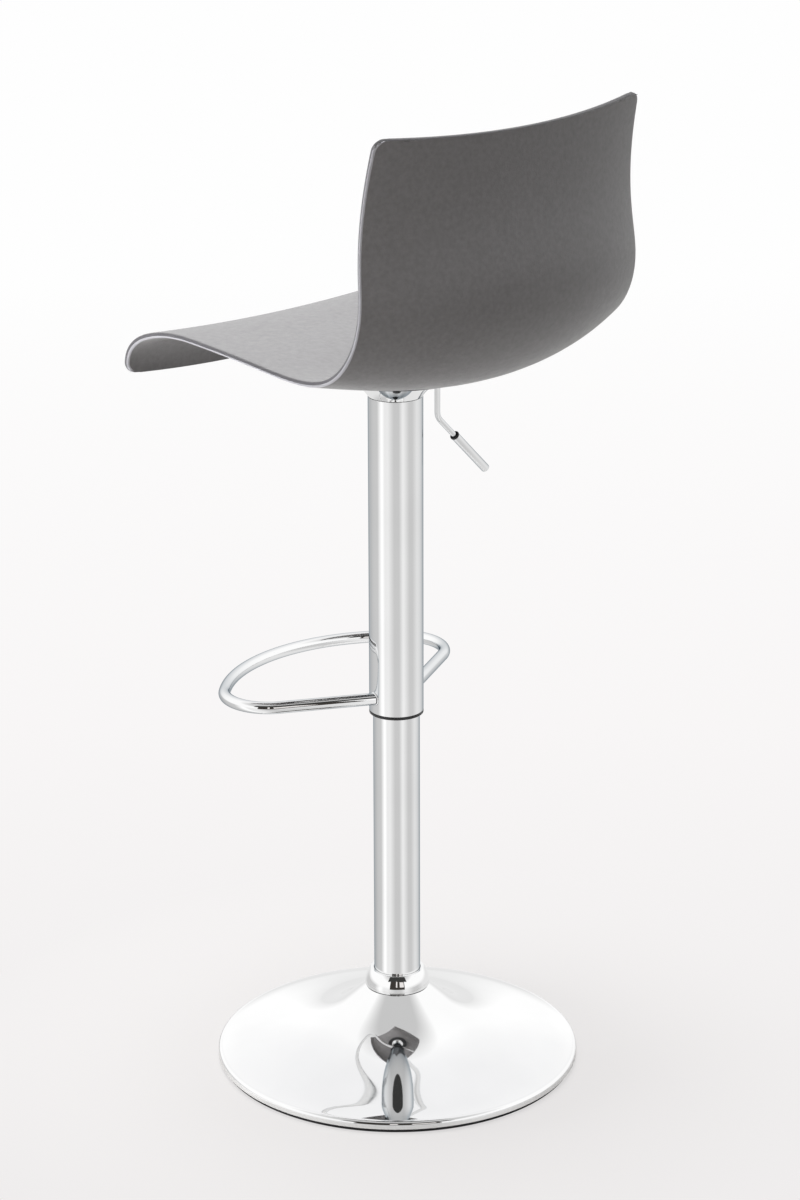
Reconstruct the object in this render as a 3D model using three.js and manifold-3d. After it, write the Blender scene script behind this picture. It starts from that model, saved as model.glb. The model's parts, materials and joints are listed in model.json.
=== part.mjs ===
// Swivelling bar stool with a gas lift: a moulded shell seat on a chromed sleeve with a welded
// footrest, sliding and turning on a stand tube that rises from a trumpet-shaped base.
// Millimetres, +Z up. The origin is where the column's axis meets the floor.
// The sitter faces -Y, and the release lever is at the sitter's right, on -X.
import * as THREE from "three";
import { mergeVertices } from "three/addons/utils/BufferGeometryUtils.js";
import { NURBSCurve } from "three/addons/curves/NURBSCurve.js";
import Module from "manifold-3d";

const wasm = await Module();
wasm.setup();

// Driving dimensions
const gap = 0.3; // between pieces that touch
const overrun = 4; // how far a cutter passes a face
const lift = { stroke: 210, rest: 11.8 }; // how far the seat comes down, and what is left then

const base = {
  radius: 196, // outer radius of the chromed rim
  rimBottom: 5, // the rim's lower edge above the floor
  rimHeight: 6.5, // upright part of the rim
  rimRound: 1.8, // rounded step from the rim to the trumpet
  neckRadius: 34,
  neckTop: 81.5,
  wall: 2,
  brimShare: 0.5, // share of the climb that is a plain cone from rim to neck
  curve: 3.7, // exponent of the rest, the trumpet's sweep
};

const floorRing = { width: 13.7, footInset: 1.6, height: 8, chamfer: 1.6 };
const weightPlate = { thickness: 6, centreHoleRadius: 16 };
const collar = {
  width: 9.7,
  height: 20,
  footInset: 1.4, // how far the foot steps in from the widest part
  bulgeHeight: 6, // where the collar is widest
  lipHeight: 2.4,
  lipWidth: 1.8,
};

const standTube = { radius: 25, wall: 1.8 };
const tubeFoot = { radius: 42, thickness: 5.7, boltCircle: 34 };
const footBolt = { shankRadius: 3.9, headRadius: 7, headHeight: 4, count: 3 };
const bush = { length: 28, flange: 3, flangeWidth: 1.6 };

const bearing = { radius: 17, washer: 2, ballRadius: 2.2, ballCount: 8, cage: 1.6 };
const rod = { radius: 5, shoulderRadius: 8.5, shoulderHeight: 6, tailLength: 4.5 };
const rodClip = { radius: 10.5, thickness: 2 };
const piston = { height: 10, studRadius: 3.5, studTail: 2.4, parkedGap: 2.3 };

const cylinder = {
  radius: 14,
  wall: 1.5,
  length: 467,
  taperLength: 50,
  taper: 1, // loss of radius over the taper
  endWall: 2,
  headWall: 13,
  shoulderRadius: 16.5,
  shoulderHeight: 5,
};
const rodGuide = { length: 11.7 };
const valve = { radius: 2.5, proud: 6, depth: 5 };

const sleeve = { radius: 29, wall: 1.5, bottom: 401, top: 747.7 };
const endRing = { lip: 3, bushLength: 40 };
const sleeveDisc = { thickness: 4.7 };
const bell = { rimRadius: 50, height: 20.3, wall: 1.5, spigot: 7, curveShare: 0.35 };

const footrest = {
  tubeRadius: 6.5,
  rise: 16.5, // how far the tube's middle lies above the sleeve's lower end
  armSplay: THREE.MathUtils.degToRad(28.7), // how far each arm swings forward
  armStart: 4, // how far ahead of the axis the arms leave the sleeve
  halfWidth: 143.5,
  reach: 183,
  cornerRadius: 48,
};

const seatPlate = {
  radius: 85,
  thickness: 3,
  bottom: 776.5,
  boltSpanX: 96,
  boltSpanY: 108,
};
const hub = {
  radius: 19,
  bottom: 745,
  top: 787.5,
  lip: 2.7, // how far the hub stands above the cylinder
  flangeRadius: 27,
  flangeHeight: 4.5,
};
const seatBolt = {
  shankRadius: 3,
  shankLength: 14,
  headRadius: 5.8,
  headHeight: 5,
  flangeRadius: 7,
  flangeHeight: 1.6,
};
const insert = { wall: 0.7, length: 12 };
const boss = { radius: 9, holeDepth: 14 };

const lever = {
  rodRadius: 3,
  innerEnd: 3, // how far the tip reaches past the valve
  pivotOffset: 30,
  dropOffset: 60,
  topBend: 10,
  elbowHeight: 712,
  elbowBend: 14,
  gripStart: 37, // from the elbow to the grip's ring
  gripLength: 64,
  gripRadius: 4.75,
  gripBore: 40,
  ringRadius: 5.2,
  ringLength: 3,
  barrelRadius: 5.2,
  barrelLength: 11,
};
const leverSlope = THREE.MathUtils.degToRad(45); // of the grip's end below the elbow
const leverSweep = THREE.MathUtils.degToRad(7);
const bracket = { wall: 2, length: 18, earRadius: 6, earGap: 0.5 };
const pivotPin = { radius: 2, tail: 1.4 };
const leverSlot = { margin: 2 };

const seat = {
  width: 392,
  depth: 430,
  rise: 288.5, // from the seat plate to the corners of the back
  wall: 6,
  cornerRadius: 12,
  chamfer: 1.6, // along both edges of the rim
};
// The shell's side edge, from the front lip to the top of the back. Each point gives the
// distance behind the axis as a share of the depth and the height as a share of the rise.
const sideEdgeShares = [
  [-0.5, -0.057],
  [-0.507, 0.057],
  [-0.358, 0.151],
  [-0.198, 0.144],
  [-0.012, 0.13],
  [0.172, 0.102],
  [0.302, 0.147],
  [0.391, 0.4],
  [0.327, 0.664],
  [0.388, 1],
];
// Half-width along that edge, as shares of half the width, and how deep the middle of
// the shell lies below or behind its edges, as shares of the width.
const halfWidthShares = [0.939, 0.969, 0.99, 1, 0.985, 0.923];
const hollowShares = [0.026, 0.02, 0.02, 0.018, 0.015, 0.084, 0.143, 0.128, 0.071];
const hollowTurnShares = [0.3, 0.6]; // where the hollow turns from downward to square-on
const seatRows = 42;
const seatColumns = 10;

const roundBase = 48; // sides of the base's round pieces
const round = 32; // sides of the column's round pieces
const roundInner = 18; // sides of the pieces hidden inside the column
const roundSmall = 12;
const sweepSteps = 8; // along the trumpet
const domeSteps = 5; // over the collar
const flareSteps = 3; // along the bell
const footrestSides = 10;
const leverSides = 8;
const sagShare = 0.02; // how far a bend's chords may stray from it, as a share of the tube's width

// Sizes that follow from the ones above
const plateTop = seatPlate.bottom + seatPlate.thickness;
const cylinderTop = hub.top - hub.lip;
const cylinderBottom = cylinderTop - cylinder.length;
const taperBottom = cylinderTop - cylinder.taperLength;
const shoulderTop = taperBottom - cylinder.shoulderHeight;
const discBottom = shoulderTop + gap;
const footrestHeight = sleeve.bottom + footrest.rise;
const standTop = discBottom - lift.stroke - lift.rest - bush.flange - gap;
const sleeveBore = sleeve.radius - sleeve.wall;
const tubeBore = standTube.radius - standTube.wall;
const rimTop = base.rimBottom + base.rimHeight;
const floorRingOuter = base.radius - base.wall - gap;
const floorRingInner = floorRingOuter - floorRing.width;
const weightRadius = floorRingInner - gap;
const weightTop = rimTop + base.rimRound - base.wall - gap;
const weightBottom = weightTop - weightPlate.thickness;
const footBottom = weightTop + gap;
const footTop = footBottom + tubeFoot.thickness;
const bearingBottom = footTop + gap;
const cageBottom = bearingBottom + bearing.washer + gap;
const upperWasherBottom = cageBottom + 2 * bearing.ballRadius + gap;
const rodShoulder = upperWasherBottom + bearing.washer + gap;
const guideBottom = cylinderBottom + cylinder.endWall + gap;
const pistonBottom = guideBottom + rodGuide.length + piston.parkedGap;
const leverHeight = cylinderTop + valve.proud + gap + lever.rodRadius;

// A point of the trumpet's sweep, [radius, height], a wall's thickness behind the outer face:
// share runs from 0 at the rim to 1 at the neck.
function trumpetPoint(share, behind) {
  const foot = rimTop + base.rimRound;
  const span = base.radius - base.rimRound - base.neckRadius;
  const climb = base.neckTop - foot;
  const { brimShare, curve } = base;
  const slope = (climb / span) * (brimShare + (1 - brimShare) * curve * share ** (curve - 1));
  const square = behind / Math.hypot(1, slope);
  return [
    base.radius - base.rimRound - span * share - slope * square,
    foot + climb * (brimShare * share + (1 - brimShare) * share ** curve) - square,
  ];
}

// A closed mesh as a manifold-3d solid.
function solidOf(geometry) {
  const bare = geometry.clone();
  bare.deleteAttribute("normal");
  bare.deleteAttribute("uv");
  const merged = mergeVertices(bare.index ? bare.toNonIndexed() : bare, gap / 1000);
  return new wasm.Manifold(
    new wasm.Mesh({
      numProp: 3,
      vertProperties: merged.attributes.position.array,
      triVerts: new Uint32Array(merged.index.array),
    }),
  );
}

function geometryOf(solid) {
  const mesh = solid.getMesh();
  const geometry = new THREE.BufferGeometry();
  geometry.setAttribute("position", new THREE.BufferAttribute(mesh.vertProperties, 3));
  geometry.setIndex(new THREE.BufferAttribute(mesh.triVerts, 1));
  geometry.computeVertexNormals();
  return geometry;
}

// Turned piece about the Z axis. The profile is a list of [radius, height] that starts and
// ends on the axis, or is closed here, listed anticlockwise.
function turned(profile, sides = round) {
  const points = profile.map(([r, z]) => new THREE.Vector2(r, z));
  const open = points[0].x === 0 && points[points.length - 1].x === 0;
  if (!open) points.push(points[0].clone());
  return new THREE.LatheGeometry(points, sides).rotateX(Math.PI / 2);
}

function ring(inner, outer, bottom, top, sides = round) {
  return turned([[inner, bottom], [outer, bottom], [outer, top], [inner, top]], sides);
}

function disc(radius, bottom, top, sides = round) {
  return turned([[0, bottom], [radius, bottom], [radius, top], [0, top]], sides);
}

// Upright round cutter or pin at a place in plan.
function post(x, y, radius, bottom, top, sides = roundSmall) {
  return disc(radius, bottom, top, sides).translate(x, y, 0);
}

// A flat path of lines and arcs, placed in space by the function place(x, y). A sweep takes
// each line in one step, and each arc in steps whose chords stray from it by up to sag.
class PlacedPath extends THREE.Curve {
  constructor(path, place, sag) {
    super();
    this.path = path;
    this.place = place;
    this.stops = [0];
    const lengths = path.getCurveLengths();
    path.curves.forEach((curve, i) => {
      const start = i ? lengths[i - 1] : 0;
      const length = lengths[i] - start;
      if (length < sag) return;
      const radius = curve.xRadius;
      const steps = radius ? Math.ceil(length / radius / (2 * Math.acos(1 - sag / radius))) : 1;
      for (let k = 1; k <= steps; k++) {
        this.stops.push((start + (length * k) / steps) / path.getLength());
      }
    });
  }
  getPoint(t, target = new THREE.Vector3()) {
    const p = this.path.getPoint(t);
    return target.copy(this.place(p.x, p.y));
  }
  getUtoTmapping(u) {
    return this.stops[Math.round(u * (this.stops.length - 1))];
  }
}

// Tube or rod along a flat path, placed in space by the function place(x, y).
function swept(path, place, radius, sides) {
  const section = new THREE.Shape();
  for (let i = 0; i < sides; i++) {
    const angle = (2 * Math.PI * i) / sides;
    section[i ? "lineTo" : "moveTo"](radius * Math.cos(angle), radius * Math.sin(angle));
  }
  const extrudePath = new PlacedPath(path, place, 2 * radius * sagShare);
  const steps = extrudePath.stops.length - 1;
  return new THREE.ExtrudeGeometry(section, { steps, bevelEnabled: false, extrudePath });
}

// Curve through the reach of a control polygon that it starts and ends on.
function smoothCurve(points) {
  const degree = 3;
  const spans = points.length - degree;
  const knots = [];
  for (let i = 0; i < points.length + degree + 1; i++) {
    knots.push(Math.min(Math.max(i - degree, 0), spans) / spans);
  }
  return new NURBSCurve(degree, knots, points.map(([x, y]) => new THREE.Vector4(x, y, 0, 1)));
}

const model = new THREE.Group();

function add(name, geometry, material) {
  const mesh = new THREE.Mesh(geometry, material.clone());
  mesh.name = name;
  model.add(mesh);
}

const chrome = new THREE.MeshStandardMaterial({ color: 0xd9dadc, roughness: 0.08, metalness: 1 });
const zincSteel = new THREE.MeshStandardMaterial({ color: 0xa9abae, roughness: 0.4, metalness: 1 });
const blackSteel = new THREE.MeshStandardMaterial({ color: 0x232325, roughness: 0.5, metalness: 0.3 });
const castIron = new THREE.MeshStandardMaterial({ color: 0x4a4a4c, roughness: 0.7, metalness: 0.6 });
const rubber = new THREE.MeshStandardMaterial({ color: 0x18181a, roughness: 0.85, metalness: 0 });
const blackPlastic = new THREE.MeshStandardMaterial({ color: 0x1b1b1d, roughness: 0.55, metalness: 0 });
const greyPlastic = new THREE.MeshStandardMaterial({ color: 0x77777a, roughness: 0.6, metalness: 0 });
const brass = new THREE.MeshStandardMaterial({ color: 0xb08d45, roughness: 0.35, metalness: 1 });

// Base
function trumpet() {
  // The sweep in steps that come closer together towards the neck.
  const sweep = (behind) => {
    const points = [];
    for (let i = 0; i <= sweepSteps; i++) {
      points.push(trumpetPoint(Math.sin((i / sweepSteps) * (Math.PI / 2)), behind));
    }
    return points;
  };
  const throat = standTube.radius + gap;
  return turned(
    [
      [base.radius - base.wall, base.rimBottom],
      [base.radius, base.rimBottom],
      [base.radius, rimTop],
      ...sweep(0),
      [throat, base.neckTop],
      [throat, base.neckTop - base.wall],
      ...sweep(base.wall).reverse(),
    ],
    roundBase,
  );
}

function rimSeal() {
  return turned(
    [
      [floorRingInner, 0],
      [floorRingOuter - floorRing.footInset, 0],
      [floorRingOuter, floorRing.chamfer],
      [floorRingOuter, floorRing.height],
      [floorRingInner, floorRing.height],
    ],
    roundBase,
  );
}

function footBoltPlaces() {
  const places = [];
  for (let i = 0; i < footBolt.count; i++) {
    const angle = (2 * Math.PI * i) / footBolt.count;
    places.push([tubeFoot.boltCircle * Math.cos(angle), tubeFoot.boltCircle * Math.sin(angle)]);
  }
  return places;
}

// A plate with its centre hole, drilled for the foot bolts.
function drilled(plate, bottom, top) {
  let solid = solidOf(plate);
  for (const [x, y] of footBoltPlaces()) {
    const radius = footBolt.shankRadius + gap;
    solid = solid.subtract(solidOf(post(x, y, radius, bottom - overrun, top + overrun)));
  }
  return geometryOf(solid);
}

function footBoltAt(x, y) {
  const seatFace = weightBottom - gap;
  const head = new THREE.CylinderGeometry(footBolt.headRadius, footBolt.headRadius, footBolt.headHeight, 6)
    .rotateX(Math.PI / 2)
    .translate(x, y, seatFace - footBolt.headHeight / 2);
  const shank = post(x, y, footBolt.shankRadius, seatFace - footBolt.headHeight / 2, footTop - gap);
  return geometryOf(solidOf(head).add(solidOf(shank)));
}

function baseCollar() {
  const inner = standTube.radius + gap;
  const outer = inner + collar.width;
  const lip = inner + collar.lipWidth;
  const bottom = base.neckTop + gap;
  const top = bottom + collar.height;
  const widest = bottom + collar.bulgeHeight;
  const shoulder = top - collar.lipHeight;
  const dome = [];
  for (let i = 0; i <= domeSteps; i++) {
    const angle = (i / domeSteps) * (Math.PI / 2);
    dome.push([
      lip + (outer - lip) * Math.cos(angle),
      widest + (shoulder - widest) * Math.sin(angle),
    ]);
  }
  return turned([
    [inner, bottom],
    [outer - collar.footInset, bottom],
    [outer, bottom + collar.footInset],
    ...dome,
    [lip, top],
    [inner, top],
  ]);
}

add("base_trumpet", trumpet(), chrome);
add("base_floor_ring", rimSeal(), rubber);
add(
  "base_weight_plate",
  drilled(
    ring(weightPlate.centreHoleRadius, weightRadius, weightBottom, weightTop, roundBase),
    weightBottom,
    weightTop,
  ),
  castIron,
);
add("base_collar", baseCollar(), chrome);

// Stand
add("stand_tube", ring(tubeBore, standTube.radius, footTop + gap, standTop), chrome);
add(
  "stand_tube_foot",
  drilled(ring(rod.radius + gap, tubeFoot.radius, footBottom, footTop, roundInner), footBottom, footTop),
  zincSteel,
);
footBoltPlaces().forEach(([x, y], i) => add(`foot_bolt_${i + 1}`, footBoltAt(x, y), zincSteel));

function guideBush() {
  const inner = cylinder.radius + gap;
  const outer = tubeBore - gap;
  const flange = outer + bush.flangeWidth;
  const seatHeight = standTop + gap;
  return turned([
    [inner, standTop - bush.length],
    [outer, standTop - bush.length],
    [outer, seatHeight],
    [flange, seatHeight],
    [flange, seatHeight + bush.flange],
    [inner, seatHeight + bush.flange],
  ]);
}
add("guide_bush", guideBush(), blackPlastic);

// Swivel bearing and gas spring
function ballCage() {
  const track = (bearing.radius + rod.radius) / 2;
  const middle = cageBottom + bearing.ballRadius;
  const half = bearing.cage / 2;
  const ballSides = 8;
  let solid = solidOf(
    ring(track - bearing.ballRadius, track + bearing.ballRadius, middle - half, middle + half, roundInner),
  );
  for (let i = 0; i < bearing.ballCount; i++) {
    const angle = (2 * Math.PI * i) / bearing.ballCount;
    const ball = new THREE.SphereGeometry(bearing.ballRadius, ballSides, ballSides / 2)
      .rotateX(Math.PI / 2)
      .translate(track * Math.cos(angle), track * Math.sin(angle), middle);
    solid = solid.add(solidOf(ball));
  }
  return geometryOf(solid);
}

function pistonRod() {
  const stud = pistonBottom - gap;
  const tail = footBottom - gap - rodClip.thickness - rod.tailLength;
  return turned(
    [
      [0, tail],
      [rod.radius, tail],
      [rod.radius, rodShoulder],
      [rod.shoulderRadius, rodShoulder],
      [rod.shoulderRadius, rodShoulder + rod.shoulderHeight],
      [rod.radius, rodShoulder + rod.shoulderHeight],
      [rod.radius, stud],
      [piston.studRadius, stud],
      [piston.studRadius, pistonBottom + piston.height + piston.studTail],
      [0, pistonBottom + piston.height + piston.studTail],
    ],
    roundSmall,
  );
}

const rodHole = rod.radius + gap;
const clipTop = footBottom - gap;
add(
  "bearing_lower_washer",
  ring(rodHole, bearing.radius, bearingBottom, bearingBottom + bearing.washer, roundInner),
  zincSteel,
);
add("bearing_balls", ballCage(), zincSteel);
add(
  "bearing_upper_washer",
  ring(rodHole, bearing.radius, upperWasherBottom, rodShoulder - gap, roundInner),
  zincSteel,
);
add("piston_rod", pistonRod(), chrome);
add("rod_clip", ring(rodHole, rodClip.radius, clipTop - rodClip.thickness, clipTop, roundSmall), zincSteel);
add(
  "gas_piston",
  ring(
    piston.studRadius + gap,
    cylinder.radius - cylinder.wall - gap,
    pistonBottom,
    pistonBottom + piston.height,
    roundInner,
  ),
  zincSteel,
);

function gasCylinder() {
  const bore = cylinder.radius - cylinder.wall;
  return turned(
    [
      [rod.radius + 2 * gap, cylinderBottom],
      [cylinder.radius, cylinderBottom],
      [cylinder.radius, shoulderTop - cylinder.shoulderHeight],
      [cylinder.shoulderRadius, shoulderTop - cylinder.shoulderHeight],
      [cylinder.shoulderRadius, shoulderTop],
      [cylinder.radius, shoulderTop],
      [cylinder.radius, taperBottom],
      [cylinder.radius - cylinder.taper, cylinderTop],
      [valve.radius + gap, cylinderTop],
      [valve.radius + gap, cylinderTop - cylinder.headWall],
      [bore - cylinder.taper, cylinderTop - cylinder.headWall],
      [bore, taperBottom],
      [bore, cylinderBottom + cylinder.endWall],
      [rod.radius + 2 * gap, cylinderBottom + cylinder.endWall],
    ],
    roundInner,
  );
}
add("gas_cylinder", gasCylinder(), blackSteel);
add(
  "rod_guide",
  ring(
    rodHole,
    cylinder.radius - cylinder.wall - gap,
    guideBottom,
    guideBottom + rodGuide.length,
    roundInner,
  ),
  blackPlastic,
);
add(
  "valve_button",
  post(0, 0, valve.radius, cylinderTop - cylinder.headWall - valve.depth, cylinderTop + valve.proud),
  zincSteel,
);

// Sleeve, its end ring and its bell
add("footrest_sleeve", ring(sleeveBore, sleeve.radius, sleeve.bottom, sleeve.top), chrome);

function sleeveEndRing() {
  const inner = standTube.radius + gap;
  const seatHeight = sleeve.bottom - gap;
  return turned([
    [inner, seatHeight - endRing.lip],
    [sleeve.radius, seatHeight - endRing.lip],
    [sleeve.radius, seatHeight],
    [sleeveBore - gap, seatHeight],
    [sleeveBore - gap, seatHeight + endRing.bushLength],
    [inner, seatHeight + endRing.bushLength],
  ]);
}
add("sleeve_end_ring", sleeveEndRing(), blackPlastic);

add(
  "sleeve_top_disc",
  ring(
    cylinder.radius + gap,
    sleeveBore - gap,
    discBottom,
    discBottom + sleeveDisc.thickness,
    roundInner,
  ),
  zincSteel,
);

function sleeveBell() {
  const spigot = sleeveBore - gap;
  const foot = sleeve.top + gap;
  // Nearly straight flare that opens a little faster towards the rim.
  const flare = (wall) => {
    const points = [];
    for (let i = 0; i <= flareSteps; i++) {
      const share = i / flareSteps;
      const opened = share * (1 - bell.curveShare) + share * share * bell.curveShare;
      const r = sleeve.radius + (bell.rimRadius - sleeve.radius) * opened;
      points.push([r - wall, foot + bell.height * share + (wall / 2) * (1 - share)]);
    }
    return points;
  };
  return turned([
    [spigot - bell.wall, foot - bell.spigot],
    [spigot, foot - bell.spigot],
    [spigot, foot],
    ...flare(0),
    ...flare(bell.wall).reverse(),
    [spigot - bell.wall, foot],
  ]);
}
add("sleeve_bell", sleeveBell(), chrome);

// Footrest: two arms that swing forward, a round corner each side and a front bar on an arc.
function footrestLoop() {
  const { armSplay, halfWidth, reach, cornerRadius } = footrest;
  const along = new THREE.Vector2(Math.cos(armSplay), -Math.sin(armSplay));
  const forward = new THREE.Vector2(-Math.sin(armSplay), -Math.cos(armSplay));
  const start = new THREE.Vector2(sleeveBore, -footrest.armStart);
  const cornerX = halfWidth - cornerRadius;
  const armLength = (cornerX - start.x - cornerRadius * forward.x) / along.x;
  const armEnd = start.clone().addScaledVector(along, armLength);
  const corner = armEnd.clone().addScaledVector(forward, cornerRadius);
  const drop = corner.y + reach;
  const frontRadius =
    (drop * drop + cornerX * cornerX - cornerRadius * cornerRadius) / (2 * (drop - cornerRadius));
  const frontY = frontRadius - reach;
  const meet = Math.atan2(corner.y - frontY, corner.x);
  const square = Math.PI / 2 - armSplay;
  const path = new THREE.Path();
  path.moveTo(start.x, start.y);
  path.lineTo(armEnd.x, armEnd.y);
  path.absarc(corner.x, corner.y, cornerRadius, square, meet, true);
  path.absarc(0, frontY, frontRadius, meet, -Math.PI - meet, true);
  path.absarc(-corner.x, corner.y, cornerRadius, -Math.PI - meet, -Math.PI - square, true);
  path.lineTo(-start.x, start.y);
  const place = (x, y) => new THREE.Vector3(x, y, footrestHeight);
  const tube = solidOf(swept(path, place, footrest.tubeRadius, footrestSides));
  const clear = 2 * footrest.tubeRadius;
  const cutter = post(0, 0, sleeve.radius + gap, footrestHeight - clear, footrestHeight + clear, round);
  return geometryOf(tube.subtract(solidOf(cutter)));
}
add("footrest_loop", footrestLoop(), chrome);

// Seat plate, hub and bolts
function seatBoltPlaces() {
  const x = seatPlate.boltSpanX / 2;
  const y = seatPlate.boltSpanY / 2;
  return [[x, y], [-x, y], [-x, -y], [x, -y]];
}

function seatPlateSheet() {
  const below = seatPlate.bottom - overrun;
  const above = plateTop + overrun;
  const hole = hub.radius + gap;
  let solid = solidOf(ring(hole, seatPlate.radius, seatPlate.bottom, plateTop));
  for (const [x, y] of seatBoltPlaces()) {
    solid = solid.subtract(solidOf(post(x, y, seatBolt.shankRadius + gap, below, above)));
  }
  // Slot for the lever's drop, long enough for its swing.
  const swing = (leverHeight - seatPlate.bottom) * Math.sin(leverSweep);
  const nearEdge = lever.dropOffset - lever.rodRadius - leverSlot.margin;
  const farEdge = lever.dropOffset + lever.rodRadius + leverSlot.margin + swing;
  const slot = new THREE.BoxGeometry(
    farEdge - nearEdge,
    2 * (lever.rodRadius + leverSlot.margin),
    above - below,
  ).translate(-(nearEdge + farEdge) / 2, 0, (above + below) / 2);
  return geometryOf(solid.subtract(solidOf(slot)));
}
add("seat_plate", seatPlateSheet(), blackSteel);

function taperHub() {
  const flangeTop = seatPlate.bottom - gap;
  const lowShare = (hub.bottom - taperBottom) / cylinder.taperLength;
  const highShare = (hub.top - taperBottom) / cylinder.taperLength;
  return turned(
    [
      [cylinder.radius - cylinder.taper * lowShare + gap, hub.bottom],
      [hub.radius, hub.bottom],
      [hub.radius, flangeTop - hub.flangeHeight],
      [hub.flangeRadius, flangeTop - hub.flangeHeight],
      [hub.flangeRadius, flangeTop],
      [hub.radius, flangeTop],
      [hub.radius, hub.top],
      [cylinder.radius - cylinder.taper * highShare + gap, hub.top],
    ],
    roundInner,
  );
}
add("taper_hub", taperHub(), zincSteel);

// Seat shell
const sideEdge = smoothCurve(sideEdgeShares.map(([y, z]) => [y * seat.depth, plateTop + z * seat.rise]));
const halfWidth = smoothCurve(halfWidthShares.map((w) => [(w * seat.width) / 2, 0]));
const hollow = smoothCurve(hollowShares.map((h) => [h * seat.width, 0]));

// A point of the shell's middle surface: t runs from the front lip to the top of the back,
// and v from the sitter's right edge, -1, to the left edge, 1.
function shellPoint(t, v) {
  const step = 1e-4;
  const here = sideEdge.getPoint(t);
  const along = sideEdge
    .getPoint(Math.min(t + step, 1))
    .sub(sideEdge.getPoint(Math.max(t - step, 0)))
    .normalize();
  const [turnStart, turnEnd] = hollowTurnShares;
  const turn = THREE.MathUtils.smoothstep(t, turnStart, turnEnd);
  const away = new THREE.Vector2(turn * along.y, -turn * along.x - (1 - turn)).normalize();
  const depth = hollow.getPoint(t).x * (1 - v * v);
  return new THREE.Vector3(
    halfWidth.getPoint(t).x * v,
    here.x + away.x * depth,
    here.y + away.y * depth,
  );
}

// Rows of the shell, closer together inside the rounded corners, each with the share of the
// half-width that the corners and an inset all round leave it.
function shellRows(inset) {
  const samples = 400;
  const lengths = [0];
  for (let i = 1; i <= samples; i++) {
    const last = sideEdge.getPoint((i - 1) / samples);
    lengths.push(lengths[i - 1] + sideEdge.getPoint(i / samples).distanceTo(last));
  }
  const total = lengths[samples];
  const cornerSteps = [0, 0.08, 0.3, 0.62, 1];
  const r = seat.cornerRadius;
  const stations = cornerSteps.map((share) => inset + share * (r - inset));
  const inside = seatRows - 2 * cornerSteps.length + 1;
  for (let i = 1; i < inside; i++) stations.push(r + ((total - 2 * r) * i) / inside);
  stations.push(...cornerSteps.map((share) => total - inset - share * (r - inset)).reverse());
  return stations.map((s) => {
    let i = lengths.findIndex((length) => length >= s);
    if (i < 1) i = s > 0 ? samples : 1;
    const t = (i - 1 + (s - lengths[i - 1]) / (lengths[i] - lengths[i - 1])) / samples;
    const short = Math.max(r - Math.min(s, total - s), 0);
    const cut = r - Math.sqrt(Math.max((r - inset) ** 2 - short ** 2, 0));
    return { t: THREE.MathUtils.clamp(t, 0, 1), share: 1 - cut / halfWidth.getPoint(t).x };
  });
}

function shellNormal(t, v) {
  const step = 1e-3;
  const alongProfile = shellPoint(Math.min(t + step, 1), v).sub(shellPoint(Math.max(t - step, 0), v));
  const across = shellPoint(t, v + step).sub(shellPoint(t, v - step));
  return across.cross(alongProfile).normalize();
}

// Grid of points over the shell, inset from its outline and raised over its middle surface.
function shellGrid(inset, raised) {
  return shellRows(inset).map(({ t, share }) => {
    const row = [];
    for (let j = 0; j <= seatColumns; j++) {
      const v = share * ((2 * j) / seatColumns - 1);
      row.push(shellPoint(t, v).addScaledVector(shellNormal(t, v), raised));
    }
    return row;
  });
}

// The points round a grid's edge, anticlockwise seen from above the seat.
function outlineOf(grid) {
  const rows = grid.length - 1;
  const outline = [];
  for (let j = 0; j < seatColumns; j++) outline.push(grid[0][j]);
  for (let i = 0; i < rows; i++) outline.push(grid[i][seatColumns]);
  for (let j = seatColumns; j > 0; j--) outline.push(grid[rows][j]);
  for (let i = rows; i > 0; i--) outline.push(grid[i][0]);
  return outline;
}

function shellSheet() {
  const half = seat.wall / 2;
  const upper = shellGrid(seat.chamfer, half);
  const lower = shellGrid(seat.chamfer, -half);
  const corners = [];
  const quad = (a, b, c, d) => corners.push(a, b, c, a, c, d);
  for (let i = 0; i + 1 < upper.length; i++) {
    for (let j = 0; j < seatColumns; j++) {
      quad(upper[i][j], upper[i][j + 1], upper[i + 1][j + 1], upper[i + 1][j]);
      quad(lower[i][j], lower[i + 1][j], lower[i + 1][j + 1], lower[i][j + 1]);
    }
  }
  // The rim: a chamfer, the square edge and the other chamfer.
  const outlines = [upper, shellGrid(0, half - seat.chamfer), shellGrid(0, seat.chamfer - half), lower];
  const bands = outlines.map(outlineOf);
  for (let band = 1; band < bands.length; band++) {
    const above = bands[band - 1];
    const below = bands[band];
    above.forEach((point, k) => {
      const next = (k + 1) % above.length;
      quad(point, below[k], below[next], above[next]);
    });
  }
  return new THREE.BufferGeometry().setFromPoints(corners);
}

// Height of the shell's middle surface over a place in plan, in the flat of the seat.
function shellHeight(x, y) {
  let low = hollowTurnShares[0] / 2;
  let high = (1 + hollowTurnShares[1]) / 2;
  const at = (t) => shellPoint(t, x / halfWidth.getPoint(t).x);
  const halvings = 40;
  for (let i = 0; i < halvings; i++) {
    const middle = (low + high) / 2;
    if (at(middle).y < y) low = middle;
    else high = middle;
  }
  return at(low).z;
}

function seatShell() {
  let solid = solidOf(shellSheet());
  for (const [x, y] of seatBoltPlaces()) {
    const foot = plateTop + gap;
    solid = solid.add(solidOf(post(x, y, boss.radius, foot, shellHeight(x, y))));
    const hole = seatBolt.shankRadius + 2 * gap + insert.wall;
    solid = solid.subtract(solidOf(post(x, y, hole, foot - overrun, foot + boss.holeDepth)));
  }
  return geometryOf(solid);
}
add("seat_shell", seatShell(), greyPlastic);

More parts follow.
